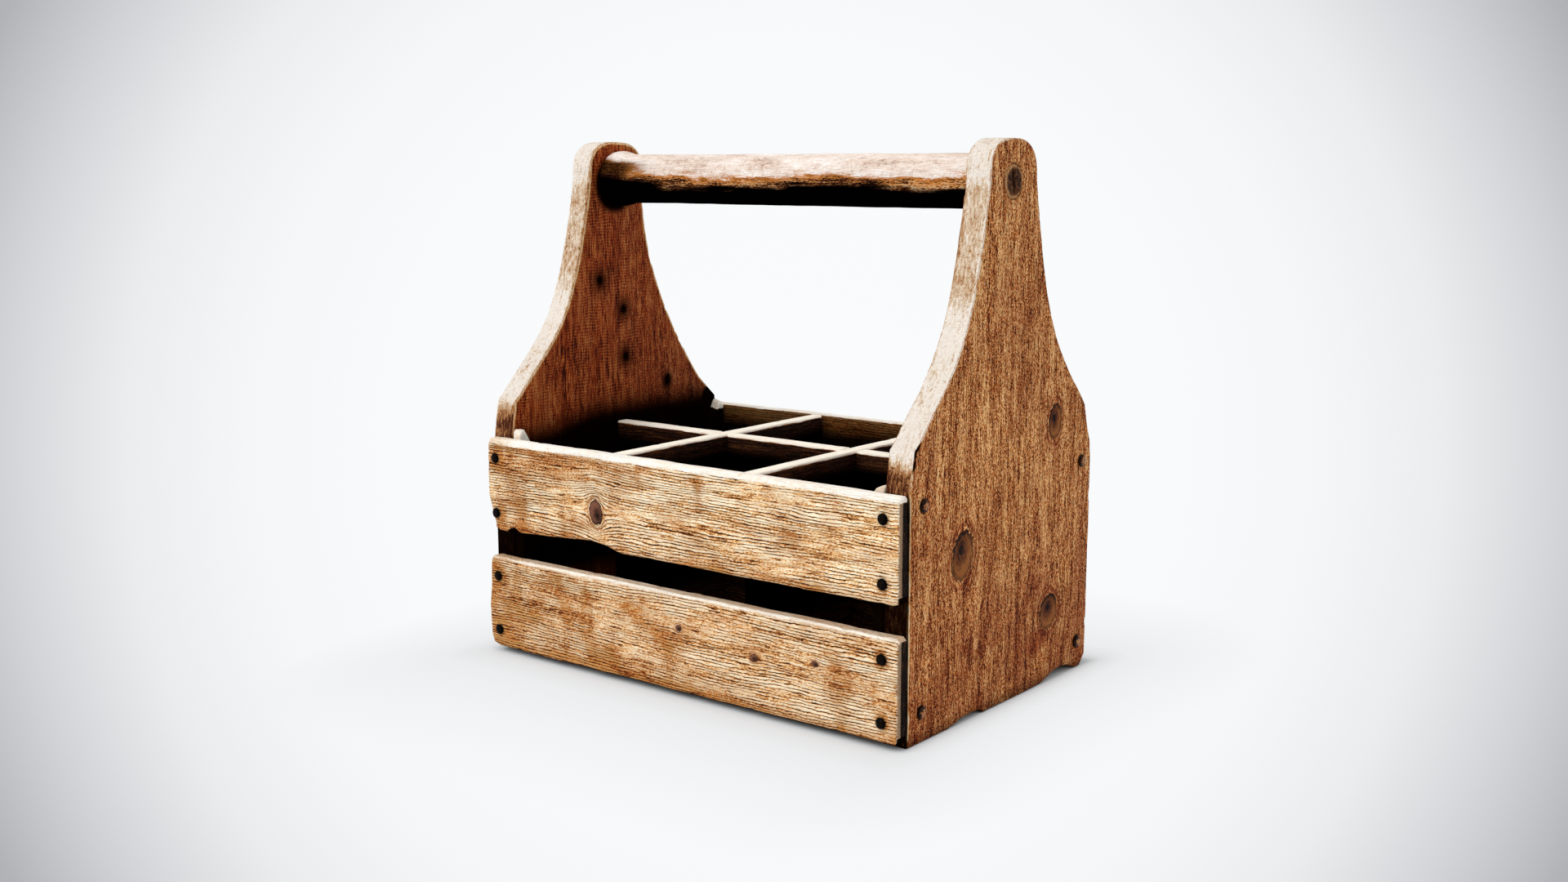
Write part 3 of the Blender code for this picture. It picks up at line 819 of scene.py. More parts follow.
@dataclass
class Board:
    """One board: an outline in the plane of its grain, and the wear on it.

    The outline's points are (along, across) in the world. The thickness is its solid's. The board
    is sampled in cells that are longer along the grain, then rounded and hollowed, always inwards.
    """

    node: str
    stock: Stock
    grain: Grain
    outline: list[tuple[float, float]]
    seed: int
    knots: tuple[Knot, ...] = ()
    body: str = "caddy"

    def __post_init__(self) -> None:
        """Take the thickness and the middle from the solid."""
        self.wear, self.stretch = self.stock.wear, self.stock.stretch
        low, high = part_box(self.node)
        deep = self.grain.order[2]
        self.thickness = high[deep] - low[deep]
        self.middle = (low[deep] + high[deep]) / 2

    def solid(self) -> bmesh.types.BMesh:
        """Extrude the outline, shortened along the grain for the sampling.

        Returns:
            The closed shape.
        """
        bm = bmesh.new()
        low = -self.thickness / 2
        corners = [bm.verts.new((a / self.stretch, b, low)) for a, b in self.outline]
        grown = bmesh.ops.extrude_face_region(bm, geom=[bm.faces.new(corners)])["geom"]
        moved = [item for item in grown if isinstance(item, bmesh.types.BMVert)]
        bmesh.ops.translate(bm, verts=moved, vec=(0, 0, self.thickness))
        bmesh.ops.recalc_face_normals(bm, faces=bm.faces)
        return bm

    def nearest_edge(self, flat: np.ndarray) -> tuple[np.ndarray, np.ndarray, np.ndarray]:
        """Find how deep each point lies inside the outline, and the way inwards.

        Args:
            flat: N by 2 points along and across the grain.

        Returns:
            The depths, unit vectors that point away from the nearest stretch of outline, and how
            far round the outline that stretch lies.
        """
        corners = np.array(self.outline) / MM
        following = np.roll(corners, -1, axis=0)
        area = np.sum(corners[:, 0] * following[:, 1] - corners[:, 1] * following[:, 0])
        best = np.full(len(flat), np.inf)
        inward = np.zeros((len(flat), 2))
        round_run = np.zeros(len(flat))
        so_far = 0.0
        for start, end in zip(corners, following):
            run = end - start
            length = math.hypot(*run)
            share = np.clip((flat - start) @ run / length**2, 0, 1)
            gap = np.hypot(*(flat - start - share[:, None] * run).T)
            closer = gap < best
            best[closer] = gap[closer]
            inward[closer] = np.array((-run[1], run[0])) / length * math.copysign(1, area)
            round_run[closer] = so_far + share[closer] * length
            so_far += length
        return best, inward, round_run

    def rounding(self, local: np.ndarray) -> np.ndarray:
        """Work out the arris radius: uneven, chipped here and there, larger at the crown.

        Args:
            local: N by 3 points in grain order.

        Returns:
            The radius at each point.
        """
        across = local[:, 1]
        low, high = across.min(), across.max()
        crown = ease(across, low + 0.6 * (high - low), high)
        base = self.wear.arris + (self.wear.crown - self.wear.arris) * crown
        chips = ease(even_noise(local / 9, self.seed + 7, 2), 0.62, 0.78)
        return base * (0.5 + even_noise(local / 23, self.seed, 2)) + chips * self.wear.chip

    def relief(self, local: np.ndarray) -> np.ndarray:
        """Work out how high the grain stands, bent round the knots.

        Args:
            local: N by 3 points in grain order.

        Returns:
            From 0 in a groove to 1 on a ridge, at each point.
        """
        along, across, through = local.T
        level = across
        for knot in self.knots:
            off_a = (along - knot.along) / knot.half_along
            off_b = (across - knot.across) / knot.half_across
            level = level - (across - knot.across) / np.maximum(off_a**2 + off_b**2, 1)
        cells = np.stack((along / 38, level / self.wear.ridge_spacing, through / 9), 1)
        return ease(even_noise(cells, self.seed + 31, 2), 0.3, 0.7)

    def carve(self) -> Carved:
        """Sample the board, wear it and put it in its place in the world.

        Returns:
            The carved mesh, with what its marks go by.
        """
        mesh = resampled(self.solid(), self.stock.cell, self.stretch)
        local = points_of(mesh) / MM
        half = self.thickness / 2 / MM
        depth, inward, run = self.nearest_edge(local[:, :2])
        under = np.maximum(half - np.abs(local[:, 2]), 0)
        side = np.sign(local[:, 2])
        radius = self.rounding(local)
        reach_in, reach_under = np.maximum(radius - depth, 0), np.maximum(radius - under, 0)
        span = np.maximum(np.hypot(reach_in, reach_under), 1e-6)
        pull = np.where((reach_in > 0) & (reach_under > 0), 1 - radius / span, 0).clip(0, 1)
        drift = even_noise(local / 31, self.seed + 11) * self.wear.wander * ease(depth, 12, 0)
        relief = self.relief(local)
        dish = even_noise(local / 38, self.seed + 23, 2) * self.wear.dish
        hollow = (dish + (1 - relief) * self.wear.ridge) * ease(under, 2, 0)
        along, across, deep = self.grain.order
        place = np.empty_like(local)
        place[:, [along, across]] = local[:, :2] + inward * (reach_in * pull + drift)[:, None]
        through = np.clip(local[:, 2] - side * (reach_under * pull + hollow), -half, half)
        place[:, deep] = through + self.middle / MM
        if self.grain.mirrored:
            mesh.flip_normals()
        move_points(mesh, place * MM)
        give_marks(mesh, {"relief": relief, "run": run})
        rim = ease(under - depth, -0.6, 0.6)
        return Carved(mesh, place, np.maximum(depth, under), rim, side)

    def show(self, mesh: Mesh, marks: dict[str, object]) -> None:
        """Give the carved board its marks and its finish, and let it stand for its solid.

        Args:
            mesh: The carved mesh.
            marks: The marks that aren't zero: a number, or one for each vertex.
        """
        give_marks(mesh, marks)
        material = self.stock.wood.dress(self.node, self.grain, self.knots, self.seed)
        stand_in(self.node, mesh, material, self.body)


@dataclass
class BoredBoard(Board):
    """A board with one round hole through it."""

    bore: float = 0.0
    bore_radius: float = 12 * MM

    def solid(self) -> bmesh.types.BMesh:
        """Extrude the outline and bore it.

        Returns:
            The closed shape.
        """
        drill = bmesh.new()
        size = {"radius1": self.bore_radius, "radius2": self.bore_radius}
        bmesh.ops.create_cone(drill, cap_ends=True, segments=48, depth=2 * self.thickness, **size)
        bmesh.ops.scale(drill, vec=(1 / self.stretch, 1, 1), verts=drill.verts)
        bmesh.ops.translate(drill, vec=(self.bore / self.stretch, 0, 0), verts=drill.verts)
        holder = placed("block", to_mesh(super().solid(), "block"))
        tool = placed("drill", to_mesh(drill, "drill"))
        boolean = holder.modifiers.new("bore", "BOOLEAN")
        boolean.operation = "DIFFERENCE"
        boolean.solver = "EXACT"
        boolean.object = tool
        graph = bpy.context.evaluated_depsgraph_get()
        bored = bmesh.new()
        bored.from_mesh(holder.evaluated_get(graph).to_mesh())
        for item in (holder, tool):
            bpy.data.objects.remove(item)
        return bored


@dataclass(frozen=True)
class SideCurve:
    """One sawn side of an end panel: a shoulder over the slats, then a hollow curve to the neck."""

    shoulder_rise: float
    shoulder_inset: float
    start_rise: float
    start_inset: float
    pull_shares: tuple = ((0.485, 0.269), (0.741, 0.277))


@dataclass
class EndPanels:
    """The two shaped end boards, with a bore for the handle near the top."""

    neck_half: float = 31 * MM
    cap_height: float = 29 * MM
    cap_squareness: float = 2.8
    curve_steps: int = 24
    front: SideCurve = SideCurve(26.5 * MM, 4 * MM, 31.8 * MM, 10 * MM)
    right_back: SideCurve = SideCurve(14.5 * MM, 5.5 * MM, 31.8 * MM, 10.5 * MM)
    left_back: SideCurve = SideCurve(
        6.8 * MM, 1 * MM, 25 * MM, 21.7 * MM, ((0.02, 0.02), (1.13, 0.51))
    )
    bore_radius: float = 12.1 * MM
    foot_wear: float = 6.2 * MM
    foot_along: tuple = (0, 0.21, 0.277, 0.325, 0.368, 0.39, 0.72, 0.8, 0.84, 0.88, 0.94, 0.968, 1)
    foot_height: tuple = (0, 0, 0.5, 0.64, 0.5, 0, 0, 0.9, 1, 0.8, 0, 0, 1.3)
    stock: Stock = Stock("panel_wood", STAINED_PINE, Wear(1.3, 1.9, 1.6, 0.5), 1.0 * MM, 2.0)
    left_spots: tuple = ((-21.7, 281, 20), (5, 256.5, 18), (7, 217.7, 19), (57.2, 194.6, 12))
    # Where a painted shade darkens the left panel's inner corner by the back slat.
    left_corner_shade: tuple[float, float] = (113, 172)
    right_smudge: tuple[float, float] = (46, 34)
    right_chip: float = 190
    right_knots: tuple = (
        Knot(116.3, -57, 16.5, 12, 0.3),
        Knot(192, 64.3, 12.5, 8.5, 0.1),
        Knot(53, 61, 12.5, 11.5, 0.5),
    )

    def side(self, curve: SideCurve, slat_top: float, handle_z: float, half: float) -> list:
        """Draw one side, from the slats' top to the cap.

        Args:
            curve: The side's own sizes.
            slat_top: The height of the slats' top.
            handle_z: The height of the handle's axis.
            half: Half of the panel's depth.

        Returns:
            The side's points as (depth, height).
        """
        start = Vector((half - curve.start_inset, slat_top + curve.start_rise))
        neck = Vector((self.neck_half, handle_z))
        run, rise = start.x - self.neck_half, handle_z - start.y
        pulls = [Vector((start.x - i * run, start.y + u * rise)) for i, u in curve.pull_shares]
        side = [(half, slat_top), (half - curve.shoulder_inset, slat_top + curve.shoulder_rise)]
        for step in range(self.curve_steps):
            t = step / self.curve_steps
            point = (1 - t) ** 3 * start + 3 * (1 - t) ** 2 * t * pulls[0]
            point = point + 3 * (1 - t) * t**2 * pulls[1] + t**3 * neck
            side.append(tuple(point))
        for step in range(self.curve_steps // 2):
            angle = step / self.curve_steps * math.pi
            across = math.cos(angle) ** (2 / self.cap_squareness)
            upward = math.sin(angle) ** (2 / self.cap_squareness)
            side.append((self.neck_half * across, handle_z + self.cap_height * upward))
        return side

    def outline(self, end: int, slat_top: float, handle_z: float, half: float) -> list:
        """Draw a panel's outline: foot, back, cap and front.

        Args:
            end: -1 for the left panel and 1 for the right one.
            slat_top: The height of the slats' top.
            handle_z: The height of the handle's axis.
            half: Half of the panel's depth.

        Returns:
            The outline's points as (height, depth).
        """
        back_curve = self.left_back if end < 0 else self.right_back
        back = self.side(back_curve, slat_top, handle_z, half)
        front = [(-y, z) for y, z in reversed(self.side(self.front, slat_top, handle_z, half))]
        foot = [
            (end * (2 * along * half - half), height * self.foot_wear)
            for along, height in list(zip(self.foot_along, self.foot_height))[::end]
        ]
        return [(z, y) for y, z in foot + back + [(0, handle_z + self.cap_height)] + front]

    def marks(
        self, carved: Carved, end: int, slat_top: float, handle_z: float, nails: list[tuple]
    ) -> dict[str, np.ndarray]:
        """Say where a panel is bleached, stained, sawn, dirty and darkened with painted shade.

        Args:
            carved: The carved panel.
            end: -1 for the left panel and 1 for the right one.
            slat_top: The height of the slats' top.
            handle_z: The height of the handle's axis.
            nails: The nails' places as (y, z).

        Returns:
            The marks.
        """
        y, z = carved.place[:, 1], carved.place[:, 2]
        edge, rim = carved.edge, carved.rim
        outer, front, rise = carved.side * end > 0, y < 0, z - slat_top
        outside, inside = (1 - rim) * outer, (1 - rim) * ~outer
        cloud, fine = carved.cloud(26, 41 + end), carved.cloud(5, 45 + end, 2)
        upper = ease(rise, -3, 2)
        neck = ease(z, 258, 300) * ease(z, 366, 352)
        waist = ease(rise, 34 if end < 0 else 25, 8) * (0.6 + 0.8 * cloud)
        bleach = 1.07 - (0.4 if end < 0 else 0.37) * neck - 0.9 * waist + 0.3 * (cloud - 0.5)
        bleach = 0.1 + upper * (bleach - 0.1)
        bleach += 0.5 * rim * outer * upper * ease(edge, 1.4 + 2.2 * fine, 0.8)
        arris = ease(edge, 1.0 + 2.6 * fine, 0.6) * ease(z, 2, 8)
        pale = front * (outside + outer * rim * (rise < 0)) * (0.35 + 0.5 * fine) * arris
        line = ease(edge, 2.4 + 1.6 * fine, 1.4)
        pale += inside * upper * np.where(front, 0.55, 0.6) * line
        bleach -= 0.15 * rim * line * (0.5 + fine) + 0.9 * inside
        damp = 0.6 * ease(cloud, 0.25, 0.6) + 0.3 * ease(y, -85, -110)
        stain = inside + outside * ease(z, 190, 20) * damp
        # Painted shade inside the box: the inner face goes black below the slats' top, lighter again
        # low down.
        dirt_and_shade = inside * (ease(z + 12 * ease(y, -20, -90), 204, 160) - 0.6 * ease(z, 70, 38))
        # A painted shadow round the handle's end on the inner face.
        dirt_and_shade += 0.9 * inside * ease(np.hypot(y + 3, z - handle_z + 5), 27, 17)
        # Painted shade on the rims below the slats' top, behind the slats.
        dirt_and_shade += rim * ease(rise, 2, -6) * np.where(front, 0.85 if end < 0 else 0.75, 0.35)
        # The outer face darkens towards the floor.
        dirt_and_shade += 0.5 * outside * ease(z, 14, 0)
        for nail_y, nail_z in nails:
            gap = np.hypot(y - nail_y, z - nail_z)
            dirt_and_shade += outside * ease(gap, 6.5, 4) * (0.5 + 0.6 * fine)
        if end < 0:
            for spot_y, spot_z, reach in self.left_spots:
                gap = np.hypot(y - spot_y, 0.9 * (z - spot_z))
                dirt_and_shade += inside * (0.72 * ease(gap, reach, 0) + 0.25 * ease(gap, 5, 0))
            # A painted shade in the inner corner by the back slat.
            gap = np.hypot(y - self.left_corner_shade[0], z - self.left_corner_shade[1])
            dirt_and_shade += inside * ease(gap, 13, 9)
        else:
            chip = ease(np.abs(z - self.right_chip), 11, 6) * ease(edge, 3.6, 1.2)
            dirt_and_shade += 1.1 * chip * outside * front * ease(fine, 0.2, 0.5)
            pale *= 1 - chip * (1 - rim)
            gap = np.hypot(y - self.right_smudge[0], 1.3 * (z - self.right_smudge[1]))
            stain += 0.9 * outside * ease(gap, 17, 5) * (0.4 + fine)
        sawn = inside * ease(y, 130, -20)
        found = {"rim": rim, "bleach": bleach, "pale": pale, "stain": stain}
        return found | {"dirt_and_shade": dirt_and_shade, "sawn": sawn}

    def build(self) -> None:
        """Carve both panels, bore them for the handle and dress them."""
        slat_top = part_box("slat_front_upper")[1].z
        handle_low, handle_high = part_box("handle")
        handle_z = (handle_low.z + handle_high.z) / 2
        for name, end, knots in (("left", -1, ()), ("right", 1, self.right_knots)):
            node = "end_panel_" + name
            points = self.outline(end, slat_top, handle_z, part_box(node)[1].y)
            board = BoredBoard(node, self.stock, Grain.UPRIGHT, points, 3 + end, knots)
            board.bore, board.bore_radius = handle_z, self.bore_radius
            carved = board.carve()
            nails = nail_places((f"floor_nail_{name}", f"post_nail_{name}"), 1)
            marks = self.marks(carved, end, slat_top / MM, handle_z / MM, nails)
            board.show(carved.mesh, marks)


@dataclass
class Slats:
    """The four slats nailed across the front and the back, each outline as shares of its box."""

    upper_along: tuple = (
        *(0.016, 0.009, 0.009, 0.0216, 0.0276, 0.0417, 0.065, 0.0742, 0.0846, 0.099),
        *(0.1536, 0.245, 0.292, 0.328, 0.37, 0.99, 1.0, 1.0, 0.996),
    )
    upper_height: tuple = (
        *(1.0, 0.93, 0.365, 0.164, 0.03, 0.0, 0.0, 0.06, 0.05, 0.005),
        *(0.022, 0.054, 0.068, 0.053, 0.0, 0.0, 0.03, 0.97, 1.0),
    )
    lower_along: tuple = (
        *(0.018, 0.0104, 0.009, 0.0026, 0.0065, 0.013, 0.031, 0.995, 1.0, 1.0, 0.9935),
    )
    lower_height: tuple = (1.0, 0.94, 0.7, 0.43, 0.12, 0.03, 0.0, 0.0, 0.055, 0.96, 1.0)
    upper_knots: tuple = (Knot(-73.4, 123.4, 6, 8.9, 0.15),)
    lower_knots: tuple = (
        Knot(73.5, 41.7, 3.2, 2.6),
        Knot(125.5, 47.5, 3.0, 2.2),
        Knot(5.5, 51, 3.0, 2.4),
    )
    upper_wear: Wear = Wear(2.2, 3.6, 1.6, 0.9, ridge=0.25)
    lower_wear: Wear = Wear(2.2, 2.6, 1.6, 0.9, ridge=0.25)
    cell: float = 0.7 * MM
    stretch: float = 3.6

    def marks(
        self, carved: Carved, side: int, upper: bool, nails: list[tuple]
    ) -> dict[str, np.ndarray]:
        """Say where a slat is bleached, stained, dirty and darkened with painted shade.

        Args:
            carved: The carved slat.
            side: -1 at the front and 1 at the back.
            upper: Whether it is the upper slat.
            nails: The nails' places as (x, z).

        Returns:
            The marks.
        """
        x, z = carved.place[:, 0], carved.place[:, 2]
        edge, rim = carved.edge, carved.rim
        up, down = z - z.min(), z.max() - z
        from_end = np.minimum(x - x.min(), x.max() - x)
        outer = carved.side * side > 0
        inner = (1 - rim) * ~outer
        cloud = carved.cloud(26, 51 + side + 2 * upper)
        band = (2.6 if upper else 1.6) + 2.6 * cloud
        top = ease(down, 1.5 * band, 0.6 * band)
        # On the inner face only the top edge is rubbed pale, at half strength: worn, and partly a
        # painted highlight along the inner arris.
        pale = np.where(outer | (rim > 0.5), top, 0.5 * ease(down, 2, 0.5))
        ends = ease(from_end, 2.6, 0.6) * (1 - rim)
        ends = np.maximum(ends, rim * (from_end < 5) * ease(edge, 4.5, 3))
        pale = np.maximum(pale, 0.75 * ends * outer)
        end_face = rim * ease(from_end, 5, 1) * (down > 4)
        base_face = rim * (up < 6)
        # The underside and the outer face's bottom edge are darkened with painted shade; the end
        # faces are dark end grain.
        dirt_and_shade = 0.6 * base_face + (0.2 + 0.25 * (x > 0)) * end_face + 0.45 * ease(up, 3, 0) * outer
        # Painted shade on the inner face, inside the box.
        dirt_and_shade += inner * (0.58 + 0.45 * ease(down, 5, 28)) * ease(down, 0.5, 2)
        arris = ease(edge, 2.4, 0.8)
        bleach = (0.8 if upper else 0.22 + 0.5 * arris * outer) + 0.5 * (cloud - 0.5)
        bleach -= 0.4 * ease(x, -150, -172)
        bleach *= 1 - np.maximum(end_face, base_face)
        cross = even_noise(carved.place / (11, 1 / MM, 50), 53 + upper, 2)
        stain = 0.1 + 0.1 * ease(x, 80, -150) + 0.5 * ease(cloud, 0.5, 0.75)
        stain += 0.5 * ease(up, 10, 2) + 0.25 * ease(cross, 0.56, 0.7) + inner
        for nail_x, nail_z in nails:
            gap = np.hypot(x - nail_x, (z - nail_z) * 0.8)
            stain += 0.9 * ease(gap, 13 if nail_x < 0 else 8, 4) * ease(cloud, 0.25, 0.6)
            dirt_and_shade += 0.4 * ease(gap, 5, 4)
            pale *= ease(gap, 3, 9)
        if not upper:
            # Painted shade in broken stretches along the lower slat's inner top edge.
            broken = ease(x, -118, -112) * ease(x, 155, 150)
            broken *= ease(carved.cloud(19, 57, 2), 0.3, 0.4)
            dirt_and_shade += 0.8 * broken * ~outer * arris * (down < 4)
            stain += 0.2 + 0.15 * ease(x, -100, -185) * ease(cloud, 0.3, 0.6)
            stain += 0.3 * ease(up, 30, 8) * ease(np.abs(x), 110, 30)
        return {"rim": rim, "bleach": bleach, "pale": pale, "stain": stain, "dirt_and_shade": dirt_and_shade}

    def build(self) -> None:
        """Carve and dress the four slats."""
        levels = {
            "lower": (self.lower_along, self.lower_height, self.lower_knots, self.lower_wear),
            "upper": (self.upper_along, self.upper_height, self.upper_knots, self.upper_wear),
        }
        for (face, side), level in product((("front", -1), ("back", 1)), levels):
            along, height, knots, wear = levels[level]
            node, upper = f"slat_{face}_{level}", level == "upper"
            low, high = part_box(node)
            tall = high.z - low.z
            points = [((2 * a - 1) * high.x, low.z + u * tall) for a, u in zip(along, height)]
            stock = Stock("slat_wood", WEATHERED_PINE, wear, self.cell, self.stretch)
            seed = 11 + side + 3 * upper
            board = Board(node, stock, Grain.LENGTHWISE, points, seed, knots)
            carved = board.carve()
            nails = nail_places((f"slat_nail_{face}_{level}",), 0)
            board.show(carved.mesh, self.marks(carved, side, upper, nails))


@dataclass
class DividerGrid:
    """The three half-lapped dividers that lift out together."""

    lap_share: float = 0.5
    stock: Stock = Stock("divider_wood", DARK_PINE, Wear(1.1, 1.5, 0.9, 0.3, 0.2), 0.9 * MM, 3.0)

    def build(self) -> None:
        """Carve and dress the long divider and the two cross dividers."""
        low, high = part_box("divider_long")
        crosses = [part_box("divider_cross_" + name) for name in ("left", "right")]
        lap = low.z + self.lap_share * (high.z - low.z)
        points = [(low.x, low.z), (high.x, low.z), (high.x, high.z)]
        for start, end in reversed(crosses):
            first, last = end.x + TOUCH_GAP, start.x - TOUCH_GAP
            points += [(first, high.z), (first, lap - TOUCH_GAP)]
            points += [(last, lap - TOUCH_GAP), (last, high.z)]
        self.make("divider_long", Grain.LENGTHWISE, points + [(low.x, high.z)], 71)
        first, last = low.y - TOUCH_GAP, high.y + TOUCH_GAP
        for name, (start, end) in zip(("left", "right"), crosses):
            points = [(start.y, start.z), (first, start.z), (first, lap + TOUCH_GAP)]
            points += [(last, lap + TOUCH_GAP), (last, start.z), (end.y, start.z)]
            points += [(end.y, end.z), (start.y, end.z)]
            self.make("divider_cross_" + name, Grain.CROSSWISE, points, 73 + len(name))

    def make(self, node: str, grain: Grain, points: list, seed: int) -> None:
        """Carve one divider: cream along the top edge, with painted shade below, darkest partway
        down.

        Args:
            node: The solid that it stands for.
            grain: The way its grain runs.
            points: Its outline.
            seed: Which stretch of wood it was cut from.
        """
        board = Board(node, self.stock, grain, points, seed, body="divider_grid")
        carved = board.carve()
        down = carved.place[:, 2].max() - carved.place[:, 2]
        cloud = carved.cloud(22, 61)
        # Painted shade: darker deeper in the box, lighter again near the bottom.
        deep = 0.65 * ease(down, 3, 24) - 0.7 * ease(down, 90, 125)
        marks = {
            "pale": ease(down, 2.2 + 2 * (cloud - 0.5), 1),
            "bleach": 1.0 + 0.4 * (cloud - 0.5),
            "stain": 0.4 * cloud,
            "dirt_and_shade": ease(down, 1.2, 2.6) * (0.4 + deep),
        }
        board.show(carved.mesh, marks)


@dataclass(frozen=True)
class Mound:
    """The worn top of a corner post: its peak's place and height, and how wide it spreads."""

    inward: float
    across: float
    rise: float
    spread_inward: float
    spread_across: float


@dataclass
class CornerPosts:
    """The four posts in the corners, worn to pale mounds where they stand above the slats."""

    top_drop: float = 13.5 * MM
    top_across: tuple = (1.0, 0.7, 0.5, 0.36, 0.26, 0.1, 0.0)
    top_shares: tuple = (1.0, 0.85, 0.56, 0.18, 0.0, 0.03, 0.22)
    worn_from: float = 16
    lump: float = 2.6
    stock: Stock = Stock("post_wood", WEATHERED_PINE, Wear(1.8, 1.8, 0.8, 0.3), 0.6 * MM, 1.5)
    mounds: dict = field(
        default_factory=lambda: {
            "front_left": Mound(4.0, 4.0, 6.2, 16, 12),
            "front_right": Mound(1.0, 2.0, 2.6, 8, 9),
            "back_left": Mound(1.0, 2.5, 3.4, 9, 10),
            "back_right": Mound(2.5, 3.0, 3.6, 9, 11),
        }
    )

    def wear_top(self, mesh: Mesh, mound: Mound, corner: Vector, slat_top: float) -> None:
        """Sink a post's upper end to its mound.

        Args:
            mesh: The carved post.
            mound: The mound.
            corner: The corner of the box that the post stands in, at its top.
            slat_top: The height of the slats' top.
        """
        co = points_of(mesh) / MM
        z = co[:, 2]
        inward = (np.abs(co[:, 0] - corner.x) - mound.inward) / mound.spread_inward
        across = (np.abs(co[:, 1] - corner.y) - mound.across) / mound.spread_across
        swell = np.clip(1 - inward**2 - across**2, -0.6, 1)
        lump = (even_noise(co / 4, 83, 2) - 0.5) * self.lump
        goal = np.minimum(slat_top + mound.rise * swell + lump, corner.z)
        base = slat_top - self.worn_from
        share = np.clip((z - base) / (corner.z - base), 0, None)
        co[:, 2] = np.where(share > 0, np.minimum(z, base + share * (goal - base)), z)
        move_points(mesh, co * MM)

    def build(self) -> None:
        """Carve and dress the four posts."""
        slat_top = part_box("slat_front_upper")[1].z / MM
        for name, mound in self.mounds.items():
            node = "corner_post_" + name
            low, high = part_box(node)
            front, left = name.startswith("front"), name.endswith("left")
            outside, inside = (low.y, high.y) if front else (high.y, low.y)
            points = [(low.z, outside), (low.z, inside)]
            for share, drop in zip(self.top_across, self.top_shares):
                across = outside + share * (inside - outside)
                points.append((high.z - drop * self.top_drop, across))
            seed = 81 + len(name) + 2 * front
            board = Board(node, self.stock, Grain.UPRIGHT, points, seed)
            carved = board.carve()
            corner = Vector((low.x if left else high.x, outside, high.z)) / MM
            self.wear_top(carved.mesh, mound, corner, slat_top)
            rise = carved.place[:, 2] - slat_top
            marks = {
                "pale": ease(rise, -5, -1) if front else ease(rise, 0, 1),
                "bleach": 0.6 * carved.cloud(7, 85, 2) + (0.4 if left else 0.1),
                "stain": 0.3,
                # Painted shade on the posts below the slats' top, reaching higher on the back posts.
                "dirt_and_shade": ease(-rise, 1, 6) if front else ease(-rise, -2, 1),
            }
            board.show(carved.mesh, marks)


@dataclass
class BottomBoard:
    """The bottom of the box, dark with old stain, its dark tones partly painted shade."""

    stock: Stock = Stock("floor_wood", DARK_PINE, Wear(1.2, 1.2, 1.0, 0.3), 1.2 * MM, 3.0)

    def build(self) -> None:
        """Carve and dress the bottom board."""
        low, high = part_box("bottom_board")
        points = [(low.x, low.y), (high.x, low.y), (high.x, high.y), (low.x, high.y)]
        board = Board("bottom_board", self.stock, Grain.LYING, points, 91)
        carved = board.carve()
        cloud = carved.cloud(40, 93)
        board.show(carved.mesh, {"stain": cloud, "dirt_and_shade": 0.5 * ease(cloud, 0.4, 0.8)})


